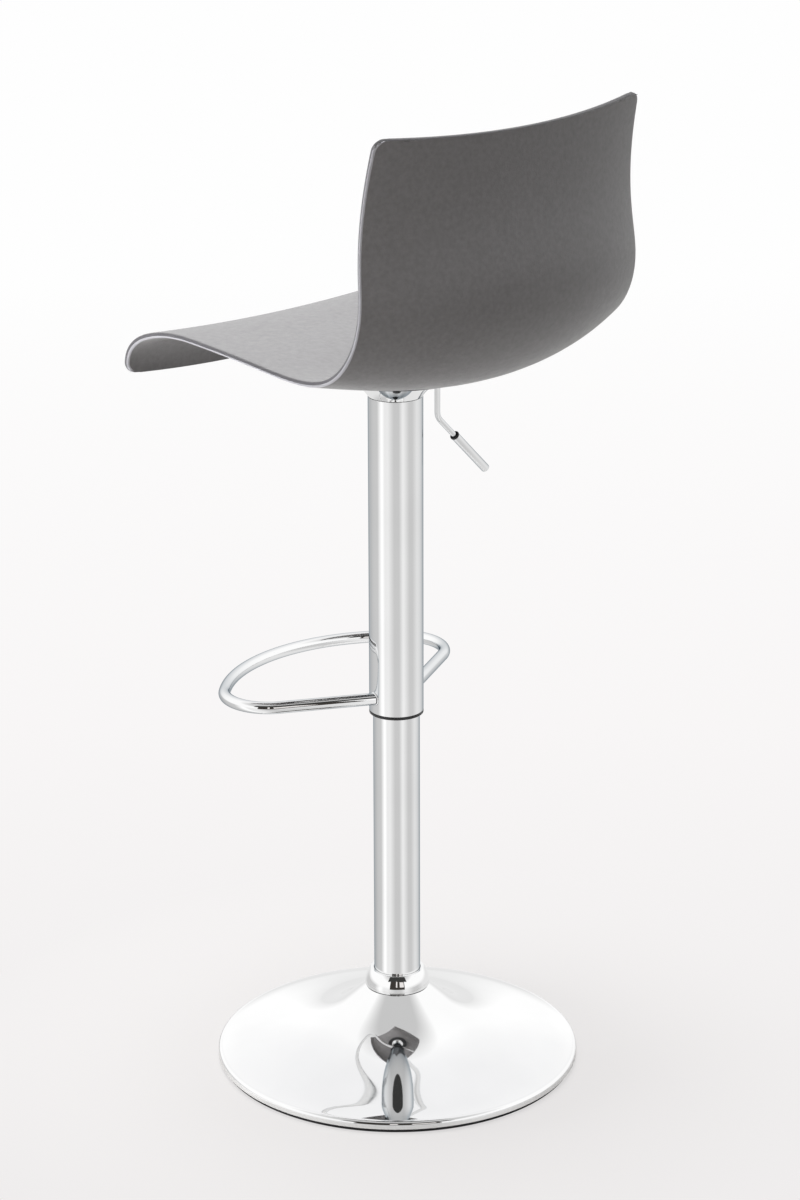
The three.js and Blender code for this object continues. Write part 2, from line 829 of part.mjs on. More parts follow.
function seatBoltAt(x, y) {
  const seatFace = seatPlate.bottom - gap;
  const hexTop = seatFace - seatBolt.flangeHeight;
  const head = new THREE.CylinderGeometry(seatBolt.headRadius, seatBolt.headRadius, seatBolt.headHeight, 6)
    .rotateX(Math.PI / 2)
    .translate(x, y, hexTop - seatBolt.headHeight / 2);
  const flange = post(x, y, seatBolt.flangeRadius, hexTop, seatFace);
  const shank = post(x, y, seatBolt.shankRadius, hexTop, seatFace + seatBolt.shankLength);
  return geometryOf(solidOf(head).add(solidOf(flange)).add(solidOf(shank)));
}

seatBoltPlaces().forEach(([x, y], i) => {
  const inner = seatBolt.shankRadius + gap;
  const bottom = plateTop + gap;
  const nut = ring(inner, inner + insert.wall, bottom, bottom + insert.length, roundSmall);
  add(`seat_insert_${i + 1}`, nut.translate(x, y, 0), brass);
  add(`seat_bolt_${i + 1}`, seatBoltAt(x, y), blackSteel);
});

// Release lever in its bracket. Its flat path lies in the plane Y = 0.
function leverPath() {
  const drop = -lever.dropOffset;
  const elbow = lever.elbowHeight;
  const tangent = lever.elbowBend * Math.tan(leverSlope / 2);
  const path = new THREE.Path();
  path.moveTo(lever.innerEnd, leverHeight);
  path.lineTo(drop + lever.topBend, leverHeight);
  path.absarc(drop + lever.topBend, leverHeight - lever.topBend, lever.topBend, Math.PI / 2, Math.PI, false);
  path.lineTo(drop, elbow + tangent);
  path.absarc(drop - lever.elbowBend, elbow + tangent, lever.elbowBend, 0, -leverSlope, true);
  const reach = lever.gripStart + lever.gripBore;
  path.lineTo(drop - reach * Math.sin(leverSlope), elbow - reach * Math.cos(leverSlope));
  return path;
}

function crossRod(x, z, radius, halfLength) {
  return new THREE.CylinderGeometry(radius, radius, 2 * halfLength, roundSmall).translate(x, 0, z);
}

function releaseLever() {
  const x = -lever.pivotOffset;
  const place = (along, z) => new THREE.Vector3(along, 0, z);
  const bent = solidOf(swept(leverPath(), place, lever.rodRadius, leverSides));
  const barrel = solidOf(crossRod(x, leverHeight, lever.barrelRadius, lever.barrelLength / 2));
  const bore = solidOf(crossRod(x, leverHeight, pivotPin.radius + gap, lever.barrelLength));
  return geometryOf(bent.add(barrel).subtract(bore));
}
add("release_lever", releaseLever(), chrome);

// A turned piece on the lever's sloping end, at a distance below the elbow.
function onGripAxis(geometry, distance) {
  return geometry
    .rotateY(leverSlope + Math.PI)
    .translate(
      -lever.dropOffset - distance * Math.sin(leverSlope),
      0,
      lever.elbowHeight - distance * Math.cos(leverSlope),
    );
}

function gripSleeve() {
  const bore = lever.rodRadius + gap;
  const edge = lever.gripRadius / 4;
  return turned(
    [
      [bore, 0],
      [lever.gripRadius, 0],
      [lever.gripRadius, lever.gripLength - edge],
      [lever.gripRadius - edge, lever.gripLength],
      [0, lever.gripLength],
      [0, lever.gripBore + gap],
      [bore, lever.gripBore + gap],
    ],
    roundSmall,
  );
}

const gripRing = ring(lever.rodRadius + gap, lever.ringRadius, 0, lever.ringLength - gap, roundSmall);
add("lever_grip_ring", onGripAxis(gripRing, lever.gripStart - lever.ringLength), blackPlastic);
add("lever_grip", onGripAxis(gripSleeve(), lever.gripStart), chrome);

function leverBracket() {
  const inner = lever.barrelLength / 2 + bracket.earGap;
  const foot = plateTop + gap;
  const half = bracket.length / 2;
  const x = -lever.pivotOffset;
  const ear = new THREE.Shape();
  ear.moveTo(x - half, foot);
  ear.lineTo(x + half, foot);
  ear.lineTo(x + bracket.earRadius, leverHeight);
  ear.absarc(x, leverHeight, bracket.earRadius, 0, Math.PI, false);
  const sheet = { depth: bracket.wall, bevelEnabled: false, curveSegments: roundSmall };
  const plate = () => new THREE.ExtrudeGeometry(ear, sheet);
  const left = solidOf(plate().rotateX(Math.PI / 2).translate(0, -inner, 0));
  const right = solidOf(plate().rotateX(Math.PI / 2).translate(0, inner + bracket.wall, 0));
  const floor = new THREE.BoxGeometry(bracket.length, 2 * inner + bracket.wall, bracket.wall);
  const joined = left.add(right).add(solidOf(floor.translate(x, 0, foot + bracket.wall / 2)));
  const bore = solidOf(crossRod(x, leverHeight, pivotPin.radius + gap, 2 * inner));
  return geometryOf(joined.subtract(bore));
}
add("lever_bracket", leverBracket(), blackSteel);

const pinHalf = lever.barrelLength / 2 + bracket.earGap + bracket.wall + pivotPin.tail;
add("lever_pivot_pin", crossRod(-lever.pivotOffset, leverHeight, pivotPin.radius, pinHalf), zincSteel);

export default model;
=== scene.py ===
import json
import math
from collections import namedtuple

import bpy
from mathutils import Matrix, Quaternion, Vector


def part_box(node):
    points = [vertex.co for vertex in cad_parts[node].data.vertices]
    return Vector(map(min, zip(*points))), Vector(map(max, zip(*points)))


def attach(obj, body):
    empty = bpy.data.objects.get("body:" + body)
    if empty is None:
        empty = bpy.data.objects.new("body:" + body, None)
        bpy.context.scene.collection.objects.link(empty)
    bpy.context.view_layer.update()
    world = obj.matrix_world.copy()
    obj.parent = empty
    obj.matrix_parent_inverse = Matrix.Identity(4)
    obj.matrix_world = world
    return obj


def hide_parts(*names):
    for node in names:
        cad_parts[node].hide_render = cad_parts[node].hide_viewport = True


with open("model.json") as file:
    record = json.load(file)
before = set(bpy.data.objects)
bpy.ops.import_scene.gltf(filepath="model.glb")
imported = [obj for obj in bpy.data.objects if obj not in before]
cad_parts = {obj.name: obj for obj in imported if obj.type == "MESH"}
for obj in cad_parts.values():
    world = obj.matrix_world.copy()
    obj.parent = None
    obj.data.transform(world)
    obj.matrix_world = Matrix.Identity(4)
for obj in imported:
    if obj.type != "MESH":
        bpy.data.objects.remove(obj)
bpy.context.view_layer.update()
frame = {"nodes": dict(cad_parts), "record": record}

MM = 0.001
GAP = 0.3 * MM  # between pieces that touch
WELD = 0.01 * MM  # points closer than this are one
SMALL_STEP = 1e-4  # between two shares, to measure the slope of a curve

# How many sides the round pieces have
BASE_SIDES = 192
PLATE_SIDES = 128
RING_SIDES = 96
SMALL_SIDES = 32
ROD_SIDES = 24

# How far worked edges are rounded off
HAIR_EDGE = 0.25 * MM
FINE_EDGE = 0.3 * MM
CRISP_EDGE = 0.4 * MM
PLAIN_EDGE = 0.5 * MM
SOFT_EDGE = 0.6 * MM
BROAD_EDGE = 0.7 * MM
SHARP_TURN = 40  # degrees between two faces from which their edge counts as sharp

OUTWARD, UPWARD = 0, 90  # directions of an arc, in degrees


# Sizes that the frame gives


def radius_of(node):
    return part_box(node)[1].x


def bottom_of(node):
    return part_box(node)[0].z


def top_of(node):
    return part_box(node)[1].z


# Modelling helpers


def deselect():
    bpy.ops.object.select_all(action="DESELECT")


def edit():
    bpy.ops.object.mode_set(mode="EDIT")


def leave_edit():
    bpy.ops.object.mode_set(mode="OBJECT")


def pick(piece):
    deselect()
    piece.select_set(True)
    bpy.context.view_layer.objects.active = piece


def new_piece(name):
    """Names what a primitive operator has just made."""
    piece = bpy.context.object
    piece.name = name
    piece.data.name = name
    return piece


def settle(piece):
    """Puts the piece's place into its mesh."""
    pick(piece)
    bpy.ops.object.transform_apply(location=True, rotation=True, scale=True)


def close_up(piece):
    """Merges doubled points and turns every face outwards."""
    pick(piece)
    edit()
    bpy.ops.mesh.select_all(action="SELECT")
    bpy.ops.mesh.remove_doubles(threshold=WELD)
    bpy.ops.mesh.normals_make_consistent(inside=False)
    leave_edit()


def apply_modifier(piece, modifier):
    pick(piece)
    bpy.ops.object.modifier_apply(modifier=modifier.name)


def soften(piece, width, segments=3, sharpness=SHARP_TURN):
    """Rounds the piece's sharp edges and shades it smooth, with its wide faces kept true."""
    bevel = piece.modifiers.new("softened edges", "BEVEL")
    bevel.width = width
    bevel.segments = segments
    bevel.limit_method = "ANGLE"
    bevel.angle_limit = math.radians(sharpness)
    apply_modifier(piece, bevel)
    smooth(piece)
    shading = piece.modifiers.new("true faces", "WEIGHTED_NORMAL")
    shading.weight = 100  # the widest faces alone set the shading
    shading.keep_sharp = True
    apply_modifier(piece, shading)


def smooth(piece, sharpness=SHARP_TURN):
    pick(piece)
    bpy.ops.object.shade_smooth_by_angle(angle=math.radians(sharpness))


def join(pieces):
    """Joins the pieces into the first one."""
    pick(pieces[0])
    for other in pieces[1:]:
        other.select_set(True)
    bpy.ops.object.join()
    return pieces[0]


def copy_to(piece, name, place):
    """A copy with its own mesh, moved by a distance."""
    pick(piece)
    bpy.ops.object.duplicate(linked=False)
    copy = new_piece(name)
    copy.location = place
    settle(copy)
    return copy


def turned(name, profile, sides=RING_SIDES, closed=True):
    """A piece turned on the Z axis: a ring extruded and resized along (radius, height) points."""
    radius, height = profile[0]
    deselect()
    bpy.ops.mesh.primitive_circle_add(vertices=sides, radius=radius, location=(0, 0, height))
    piece = new_piece(name)
    edit()
    for next_radius, next_height in profile[1:] + (profile[:1] if closed else []):
        bpy.ops.mesh.extrude_region_move(
            TRANSFORM_OT_translate={"value": (0, 0, next_height - height)}
        )
        grown = next_radius / radius
        bpy.ops.transform.resize(value=(grown, grown, 1), center_override=(0, 0, next_height))
        radius, height = next_radius, next_height
    if not closed:
        bpy.ops.mesh.select_all(action="SELECT")
        bpy.ops.mesh.fill_holes(sides=0)
    leave_edit()
    settle(piece)
    close_up(piece)
    return piece


def ring(name, inner, outer, bottom, top, sides=RING_SIDES):
    """A flat-ended ring on the Z axis."""
    return turned(name, [(inner, bottom), (outer, bottom), (outer, top), (inner, top)], sides)


def point_tube(name, start, along, radius, sides=SMALL_SIDES):
    """Begins a tube: a ring round its first point, left in edit mode with its end selected."""
    deselect()
    bpy.ops.mesh.primitive_circle_add(
        vertices=sides,
        radius=radius,
        location=start,
        rotation=along.to_track_quat("Z", "Y").to_euler(),
    )
    piece = new_piece(name)
    edit()
    return piece


def run_straight(move):
    bpy.ops.mesh.extrude_region_move(TRANSFORM_OT_translate={"value": move})


def bend(centre, axis, angle, steps):
    """Turns the tube's end about an axis, a positive angle as a right-hand screw."""
    bpy.ops.mesh.spin(steps=steps, angle=-angle, center=centre, axis=axis)


def end_tube(piece):
    bpy.ops.mesh.select_all(action="SELECT")
    bpy.ops.mesh.fill_holes(sides=0)
    leave_edit()
    settle(piece)
    close_up(piece)


def arc(centre, radius, start, end, steps):
    """(radius, height) points on an arc, in degrees from the outward direction."""
    points = []
    for i in range(steps + 1):
        angle = math.radians(start + (end - start) * i / steps)
        points.append((centre[0] + radius * math.cos(angle), centre[1] + radius * math.sin(angle)))
    return points


# Materials


# Painted light and shade on the shell's edge: painted shade on the rim's wall, a painted highlight
# on its outer rounding and darker painted shade where the edge looks up.
PAINTED_EDGE_LIGHT = "edge_tone"  # face attribute of the shell: 0, or one of these bands
SHADE_PAINTED_BAND, HIGHLIGHT_PAINTED_BAND, TOP_SHADE_PAINTED_BAND = 1, 2, 3
PAINTED_LIGHT_COLOURS = {SHADE_PAINTED_BAND: "#57565a", HIGHLIGHT_PAINTED_BAND: "#a9a9af", TOP_SHADE_PAINTED_BAND: "#2f2e30"}
NOISE_LOW, NOISE_HIGH = 0.3, 0.7  # nearly all of a noise texture lies between these
MIX_FIRST, MIX_SECOND, MIX_RESULT = 6, 7, 2  # sockets of a Mix node that mixes colours

Look = namedtuple("Look", "material tree surface place")


def colour(code):
    """An sRGB hex colour as the linear values that nodes take."""
    channels = [int(code[i : i + 2], 16) / 255 for i in (1, 3, 5)]
    linear = [c / 12.92 if c <= 0.04045 else ((c + 0.055) / 1.055) ** 2.4 for c in channels]
    return (*linear, 1)


def emptied(owner):
    """The node tree of a material or a world, with nothing in it."""
    owner.use_nodes = True
    owner.node_tree.nodes.clear()
    return owner.node_tree


def add_node(tree, kind, inputs=None, **settings):
    """Adds a node. An input is set to its value, or linked where the value is a socket."""
    node = tree.nodes.new(kind)
    for name, value in settings.items():
        setattr(node, name, value)
    for name, value in (inputs or {}).items():
        if isinstance(value, bpy.types.NodeSocket):
            tree.links.new(value, node.inputs[name])
        else:
            node.inputs[name].default_value = value
    return node


def math_of(tree, operation, first, second):
    return add_node(tree, "ShaderNodeMath", {0: first, 1: second}, operation=operation).outputs[0]


def rescale(tree, value, low, high, to_low=0, to_high=1):
    """Turns the range from low to high into another one, and stops at its ends."""
    ends = {"From Min": low, "From Max": high, "To Min": to_low, "To Max": to_high}
    return add_node(tree, "ShaderNodeMapRange", {"Value": value, **ends}).outputs["Result"]


def mix_colours(tree, factor, first, second, blend_type="MIX"):
    """Goes from one colour to another by a factor. A colour is a hex code or a socket."""
    first, second = (colour(c) if isinstance(c, str) else c for c in (first, second))
    inputs = {"Factor": factor, MIX_FIRST: first, MIX_SECOND: second}
    mix = add_node(tree, "ShaderNodeMix", inputs, data_type="RGBA", blend_type=blend_type)
    return mix.outputs[MIX_RESULT]


def new_look(name):
    """A material with its surface shader, its output and its object coordinates."""
    material = bpy.data.materials.new(name)
    tree = emptied(material)
    surface = add_node(tree, "ShaderNodeBsdfPrincipled")
    add_node(tree, "ShaderNodeOutputMaterial", {"Surface": surface.outputs["BSDF"]})
    place = add_node(tree, "ShaderNodeTexCoord").outputs["Object"]
    return Look(material, tree, surface, place)


def set_surface(look, **values):
    """Sets inputs of the surface shader, written with underscores for spaces."""
    sockets = {s.name.lower().replace(" ", "_"): s for s in look.surface.inputs}
    for name, value in values.items():
        sockets[name].default_value = value


def vary(look, spots, low, high, detail=3):
    """Noise in spots of this size, spread between two values."""
    inputs = {"Vector": look.place, "Scale": 1 / spots, "Detail": detail}
    noise = add_node(look.tree, "ShaderNodeTexNoise", inputs)
    return rescale(look.tree, noise.outputs["Fac"], NOISE_LOW, NOISE_HIGH, low, high)


def mottle(look, spots, dark, light, detail=3):
    """A tone that goes from dark to light in spots of this size."""
    return mix_colours(look.tree, vary(look, spots, 0, 1, detail), dark, light)


def paint(look, tone):
    look.tree.links.new(tone, look.surface.inputs["Base Color"])


def roughen(look, spots, low, high):
    """Varies the roughness between two values, in spots of this size."""
    look.tree.links.new(vary(look, spots, low, high), look.surface.inputs["Roughness"])


def emboss(look, spots, depth, detail=3):
    """Bumps the surface in spots of this size, so many metres deep."""
    inputs = {"Height": vary(look, spots, 0, 1, detail), "Distance": depth, "Strength": 1}
    bump = add_node(look.tree, "ShaderNodeBump", inputs)
    look.tree.links.new(bump.outputs["Normal"], look.surface.inputs["Normal"])


def bright_chrome(name, edge):
    """Electroplated bright chrome on steel: a mirror, with the faint haze of handling, that
    takes the edge's colour at flat angles."""
    look = new_look(name)
    set_surface(look, metallic=1, specular_tint=colour(edge))
    roughen(look, spots=60 * MM, low=0.02, high=0.05)
    paint(look, mottle(look, spots=120 * MM, dark="#efefef", light="#f5f5f5"))
    return look.material


def grained_polypropylene():
    """Injection-moulded polypropylene with a fine leather-like grain: satin grey, with a sheen
    where it is seen at a flat angle. The real grain is near 0.5 mm, drawn at 1.3 mm to show.
    The smooth edge has bands of painted light and shade, by the face attribute PAINTED_EDGE_LIGHT."""
    look = new_look("grained_grey_polypropylene")
    set_surface(look, ior=1.49, sheen_weight=0.12, sheen_roughness=0.4)
    tone = mottle(look, spots=5 * MM, dark="#6c6b6c", light="#767576", detail=4)
    edge = add_node(look.tree, "ShaderNodeAttribute", attribute_name=PAINTED_EDGE_LIGHT).outputs["Fac"]
    # Paints the edge's shade and highlight bands over the grain's tone.
    for band, code in PAINTED_LIGHT_COLOURS.items():
        painted_band_on = math_of(look.tree, "GREATER_THAN", edge, band - 0.5)
        tone = mix_colours(look.tree, painted_band_on, tone, code)
    paint(look, tone)
    roughen(look, spots=8 * MM, low=0.36, high=0.44)
    emboss(look, spots=1.3 * MM, depth=0.09 * MM, detail=2)
    return look.material


def satin_black_nylon():
    """Injection-moulded black nylon: an even satin black with a slight cloud in its gloss."""
    look = new_look("satin_black_nylon")
    set_surface(look, ior=1.53)
    paint(look, mottle(look, spots=10 * MM, dark="#141415", light="#1d1d1f"))
    roughen(look, spots=5 * MM, low=0.38, high=0.5)
    return look.material


def matt_black_rubber():
    """Moulded black rubber: matt, a little grey with dust."""
    look = new_look("matt_black_rubber")
    set_surface(look, ior=1.52)
    paint(look, mottle(look, spots=25 * MM, dark="#141416", light="#232325"))
    roughen(look, spots=6 * MM, low=0.7, high=0.9)
    emboss(look, spots=1.5 * MM, depth=0.05 * MM)
    return look.material


def black_powder_coat():
    """Black powder coat on pressed steel: satin, with a faint orange-peel ripple."""
    look = new_look("black_powder_coat")
    set_surface(look, ior=1.5)
    paint(look, mottle(look, spots=30 * MM, dark="#1c1c1e", light="#262628"))
    roughen(look, spots=8 * MM, low=0.32, high=0.45)
    emboss(look, spots=2 * MM, depth=0.03 * MM)
    return look.material


def zinc_plated_steel():
    """Zinc-plated steel: grey metal, softly mottled by its crystals."""
    look = new_look("zinc_plated_steel")
    set_surface(look, metallic=1)
    paint(look, mottle(look, spots=6 * MM, dark="#9b9ea2", light="#b9bcbf"))
    roughen(look, spots=3 * MM, low=0.28, high=0.45)
    return look.material


def raw_cast_iron():
    """Sand-cast iron as it leaves the mould: dark, rough and pitted."""
    look = new_look("raw_cast_iron")
    set_surface(look, metallic=0.6)
    paint(look, mottle(look, spots=12 * MM, dark="#3c3c3e", light="#545456"))
    roughen(look, spots=4 * MM, low=0.6, high=0.85)
    emboss(look, spots=2 * MM, depth=0.3 * MM, detail=6)
    return look.material


def turned_brass():
    """Turned brass of a threaded insert: yellow metal, its gloss broken up by the tool's marks."""
    look = new_look("turned_brass")
    set_surface(look, metallic=1)
    paint(look, mottle(look, spots=5 * MM, dark="#a8843c", light="#c09a50"))
    roughen(look, spots=1 * MM, low=0.25, high=0.4)
    return look.material


FINISHES = {
    "chrome": bright_chrome("electroplated_bright_chrome", "#ffffff"),
    "chromed_tube": bright_chrome("chromed_drawn_tube", "#a2aab0"),
    "grey_plastic": grained_polypropylene(),
    "black_plastic": satin_black_nylon(),
    "black_rubber": matt_black_rubber(),
    "black_steel": black_powder_coat(),
    "zinc_steel": zinc_plated_steel(),
    "cast_iron": raw_cast_iron(),
    "brass": turned_brass(),
}


def give_finish(piece, name):
    """Gives every face of the piece one finish."""
    piece.data.materials.clear()
    piece.data.materials.append(FINISHES[name])


def finish_frame():
    """Gives each solid of the frame the finish of its slot."""
    for part in frame["record"]["subparts"]:
        give_finish(frame["nodes"][part["node"]], part["material_slot"])


def belongs(piece, body, slot, node, finish=None):
    """Hangs the piece on its body in the place of a solid, with its slot's finish or another."""
    give_finish(piece, finish or slot)
    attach(piece, body)
    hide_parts(node)


# Base


BASE_RADIUS = radius_of("base_trumpet")
RIM_BOTTOM = bottom_of("base_trumpet")
NECK_TOP = top_of("base_trumpet")
TUBE_RADIUS = radius_of("stand_tube")
BASE_WALL = 2 * MM
RIM_HEIGHT = 4 * MM
RIM_ROUND = 4.3 * MM
NECK_RADIUS = 34 * MM
BRIM_SLOPE = 0.5  # slope of the brim, before the sweep is scaled to its height
SWEEP_SLOPE = 2.7  # what the slope gains from rim to neck, by a power of the share
SWEEP_POWER = 3.75
CONE_START = 0.85  # share from which the neck is a plain cone
ROLL_SHARE = 0.125  # outer share of the sweep that rolls down to the rim
ROLL_RISE = 1.3 * MM  # how far that roll lifts the brim


def sweep(share):
    """Climb of the sweep, not yet to scale: a brim that steepens into a cone."""
    bent = min(share, CONE_START)
    climb = BRIM_SLOPE * bent + SWEEP_SLOPE * bent ** (SWEEP_POWER + 1) / (SWEEP_POWER + 1)
    return climb + (share - bent) * (BRIM_SLOPE + SWEEP_SLOPE * CONE_START**SWEEP_POWER)


def trumpet_height(share):
    """Height of the sweep's outer face, from rim 0 to neck 1."""
    foot = RIM_BOTTOM + RIM_HEIGHT + RIM_ROUND
    swept = sweep(share) / sweep(1)
    rolled = 1 - max(1 - share / ROLL_SHARE, 0) ** 2
    return foot + (NECK_TOP - foot) * swept + ROLL_RISE * rolled * (1 - share)


def trumpet_point(share, behind):
    """(radius, height) on the sweep, a distance behind the outer face, from rim 0 to neck 1."""
    span = BASE_RADIUS - RIM_ROUND - NECK_RADIUS
    before, after = max(share - SMALL_STEP, 0), share + SMALL_STEP
    slope = (trumpet_height(after) - trumpet_height(before)) / (after - before) / span
    square = behind / math.hypot(1, slope)
    radius = BASE_RADIUS - RIM_ROUND - span * share - slope * square
    return radius, trumpet_height(share) - square


def make_base():
    """The pressed trumpet: an upright rim, a rounded edge, a brim and a conical neck."""
    rim_steps, steps = 10, 48
    crowding = 1.4  # gathers the steps at the rim, as the sine does at the neck
    shares = [math.sin(math.pi / 2 * i / steps) ** crowding for i in range(steps + 1)]
    rim_top = RIM_BOTTOM + RIM_HEIGHT
    throat = TUBE_RADIUS + GAP
    profile = [(BASE_RADIUS - BASE_WALL, RIM_BOTTOM), (BASE_RADIUS, RIM_BOTTOM)]
    profile += arc((BASE_RADIUS - RIM_ROUND, rim_top), RIM_ROUND, OUTWARD, UPWARD, rim_steps)[:-1]
    profile += [trumpet_point(share, 0) for share in shares]
    profile += [(throat, NECK_TOP), (throat, NECK_TOP - BASE_WALL)]
    profile += [trumpet_point(share, BASE_WALL) for share in reversed(shares)]
    base = turned("chromed_base", profile, BASE_SIDES)
    soften(base, PLAIN_EDGE)
    belongs(base, "base", "chrome", "base_trumpet")


def make_floor_ring():
    """The rubber ring under the rim, its foot set in by a chamfer."""
    width, chamfer = 13.7 * MM, 1.6 * MM
    outer = radius_of("base_floor_ring")
    inner = outer - width
    top = top_of("base_floor_ring")
    profile = [(inner, 0), (outer - chamfer, 0), (outer, chamfer), (outer, top), (inner, top)]
    rubber = turned("rubber_floor_ring", profile, BASE_SIDES)
    soften(rubber, SOFT_EDGE)
    belongs(rubber, "base", "black_rubber", "base_floor_ring")


def make_collar():
    """A nearly conical ring with a slight bulge over a plain foot."""
    inner = TUBE_RADIUS + GAP
    outer = radius_of("base_collar")
    bottom = bottom_of("base_collar")
    top = top_of("base_collar")
    bulge = 30 * MM  # radius of the bulge, which faces up by these angles at its ends
    low, high = math.radians(11), math.radians(40)
    foot = 1.4 * MM
    steps = 16
    profile = [(inner, bottom), (outer - foot, bottom), (outer, bottom + foot)]
    for i in range(steps + 1):
        angle = low + (high - low) * i / steps
        radius = outer - bulge * (math.cos(low) - math.cos(angle))
        profile.append((radius, top - bulge * (math.sin(high) - math.sin(angle))))
    profile += [(inner, top)]
    collar = turned("chromed_collar", profile)
    soften(collar, CRISP_EDGE)
    belongs(collar, "base", "chrome", "base_collar")


# Column


SLEEVE_RADIUS = radius_of("footrest_sleeve")
SLEEVE_BOTTOM = bottom_of("footrest_sleeve")
SLEEVE_TOP = top_of("footrest_sleeve")
SLEEVE_WALL = 1.5 * MM
SLEEVE_BORE = SLEEVE_RADIUS - SLEEVE_WALL


def make_stand_tube():
    wall = 1.8 * MM
    bottom, top = bottom_of("stand_tube"), top_of("stand_tube")
    tube = ring("chromed_stand_tube", TUBE_RADIUS - wall, TUBE_RADIUS, bottom, top)
    soften(tube, PLAIN_EDGE)
    belongs(tube, "base", "chrome", "stand_tube", finish="chromed_tube")


def make_sleeve():
    sleeve = ring("chromed_sleeve", SLEEVE_BORE, SLEEVE_RADIUS, SLEEVE_BOTTOM, SLEEVE_TOP)
    soften(sleeve, CRISP_EDGE)
    belongs(sleeve, "carriage", "chrome", "footrest_sleeve", finish="chromed_tube")


def make_end_ring():
    """The black bush that closes the sleeve's lower end and slides on the stand tube."""
    inner = TUBE_RADIUS + GAP
    bottom, top = bottom_of("sleeve_end_ring"), top_of("sleeve_end_ring")
    lip_top = SLEEVE_BOTTOM - GAP
    spigot = SLEEVE_BORE - GAP
    profile = [(inner, bottom), (SLEEVE_RADIUS, bottom), (SLEEVE_RADIUS, lip_top)]
    profile += [(spigot, lip_top), (spigot, top), (inner, top)]
    bush = turned("black_end_ring", profile)
    soften(bush, PLAIN_EDGE)
    belongs(bush, "carriage", "black_plastic", "sleeve_end_ring")


def make_bell():
    """The flared cup on the sleeve's top, opening a little faster towards its rim."""
    rim = radius_of("sleeve_bell")
    bottom, top = bottom_of("sleeve_bell"), top_of("sleeve_bell")
    foot = SLEEVE_TOP + GAP
    spigot = SLEEVE_BORE - GAP
    wall = 1.5 * MM
    curve_share = 0.35  # of the opening, the part that gathers speed
    steps = 12

    def flare(behind):
        points = []
        for i in range(steps + 1):
            share = i / steps
            opened = share * (1 - curve_share) + share * share * curve_share
            radius = SLEEVE_RADIUS + (rim - SLEEVE_RADIUS) * opened - behind
            points.append((radius, foot + (top - foot) * share + behind / 2 * (1 - share)))
        return points

    profile = [(spigot - wall, bottom), (spigot, bottom), (spigot, foot)]
    profile += flare(0) + flare(wall)[::-1] + [(spigot - wall, foot)]
    bell = turned("chromed_bell", profile)
    soften(bell, CRISP_EDGE)
    belongs(bell, "carriage", "chrome", "sleeve_bell")


# Footrest


FOOTREST_RADIUS = 6.5 * MM
FOOTREST_HEIGHT = (bottom_of("footrest_loop") + top_of("footrest_loop")) / 2
ARM_SPLAY = math.radians(28.7)  # how far each arm swings forward
ARM_START = 4 * MM  # in front of the column's axis
HALF_WIDTH = 143.5 * MM  # to the tube's axis, like the next two
REACH = 183 * MM
CORNER_RADIUS = 48 * MM
CORNER_STEPS, FRONT_STEPS = 24, 64


def make_footrest():
    """One bent tube: an arm, a round corner, the front arc, a round corner and an arm."""
    z = FOOTREST_HEIGHT
    up = Vector((0, 0, 1))
    along = Vector((math.cos(ARM_SPLAY), -math.sin(ARM_SPLAY), 0))
    forward = Vector((-math.sin(ARM_SPLAY), -math.cos(ARM_SPLAY), 0))
    start = Vector((SLEEVE_BORE, -ARM_START, z))
    corner_x = HALF_WIDTH - CORNER_RADIUS
    arm = (corner_x - start.x - CORNER_RADIUS * forward.x) / along.x
    corner = start + along * arm + forward * CORNER_RADIUS
    drop = corner.y + REACH
    front_radius = (drop**2 + corner_x**2 - CORNER_RADIUS**2) / (2 * (drop - CORNER_RADIUS))
    front = Vector((0, front_radius - REACH, z))
    meet = math.atan2(corner.y - front.y, corner.x)
    corner_turn = math.pi / 2 - ARM_SPLAY - meet
    front_turn = math.pi + 2 * meet
    far_corner = Vector((-corner.x, corner.y, z))
    mirrored = Vector((along.x, -along.y, 0))
    loop = point_tube("chromed_footrest", start, along, FOOTREST_RADIUS)
    run_straight(along * arm)
    bend(corner, up, -corner_turn, CORNER_STEPS)
    bend(front, up, -front_turn, FRONT_STEPS)
    bend(far_corner, up, -corner_turn, CORNER_STEPS)
    run_straight(mirrored * arm)
    end_tube(loop)
    beads = [weld_bead(side, along, start) for side in (1, -1)]
    join([loop, *beads])
    smooth(loop)
    belongs(loop, "carriage", "chrome", "footrest_loop", finish="chromed_tube")


def weld_bead(side, along, start):
    """The small fillet where an arm meets the sleeve: a ring laid on the sleeve's wall."""
    bead = 1.1 * MM
    direction = Vector((along.x * side, along.y, 0))
    begin = Vector((start.x * side, start.y, start.z))
    deselect()
    bpy.ops.mesh.primitive_torus_add(
        major_radius=FOOTREST_RADIUS,
        minor_radius=bead,
        major_segments=48,
        minor_segments=12,
        location=begin,
        rotation=direction.to_track_quat("Z", "Y").to_euler(),
    )
    ring_piece = new_piece(f"weld_bead_{side + 2}")
    settle(ring_piece)
    for vertex in ring_piece.data.vertices:
        away = vertex.co - begin
        flat = away - direction * away.dot(direction)
        spot = begin + flat.normalized() * FOOTREST_RADIUS
        across = spot.x * direction.x + spot.y * direction.y
        reach = spot.x**2 + spot.y**2 - SLEEVE_RADIUS**2
        vertex.co += direction * (math.sqrt(across**2 - reach) - across)
    return ring_piece


# Under the seat


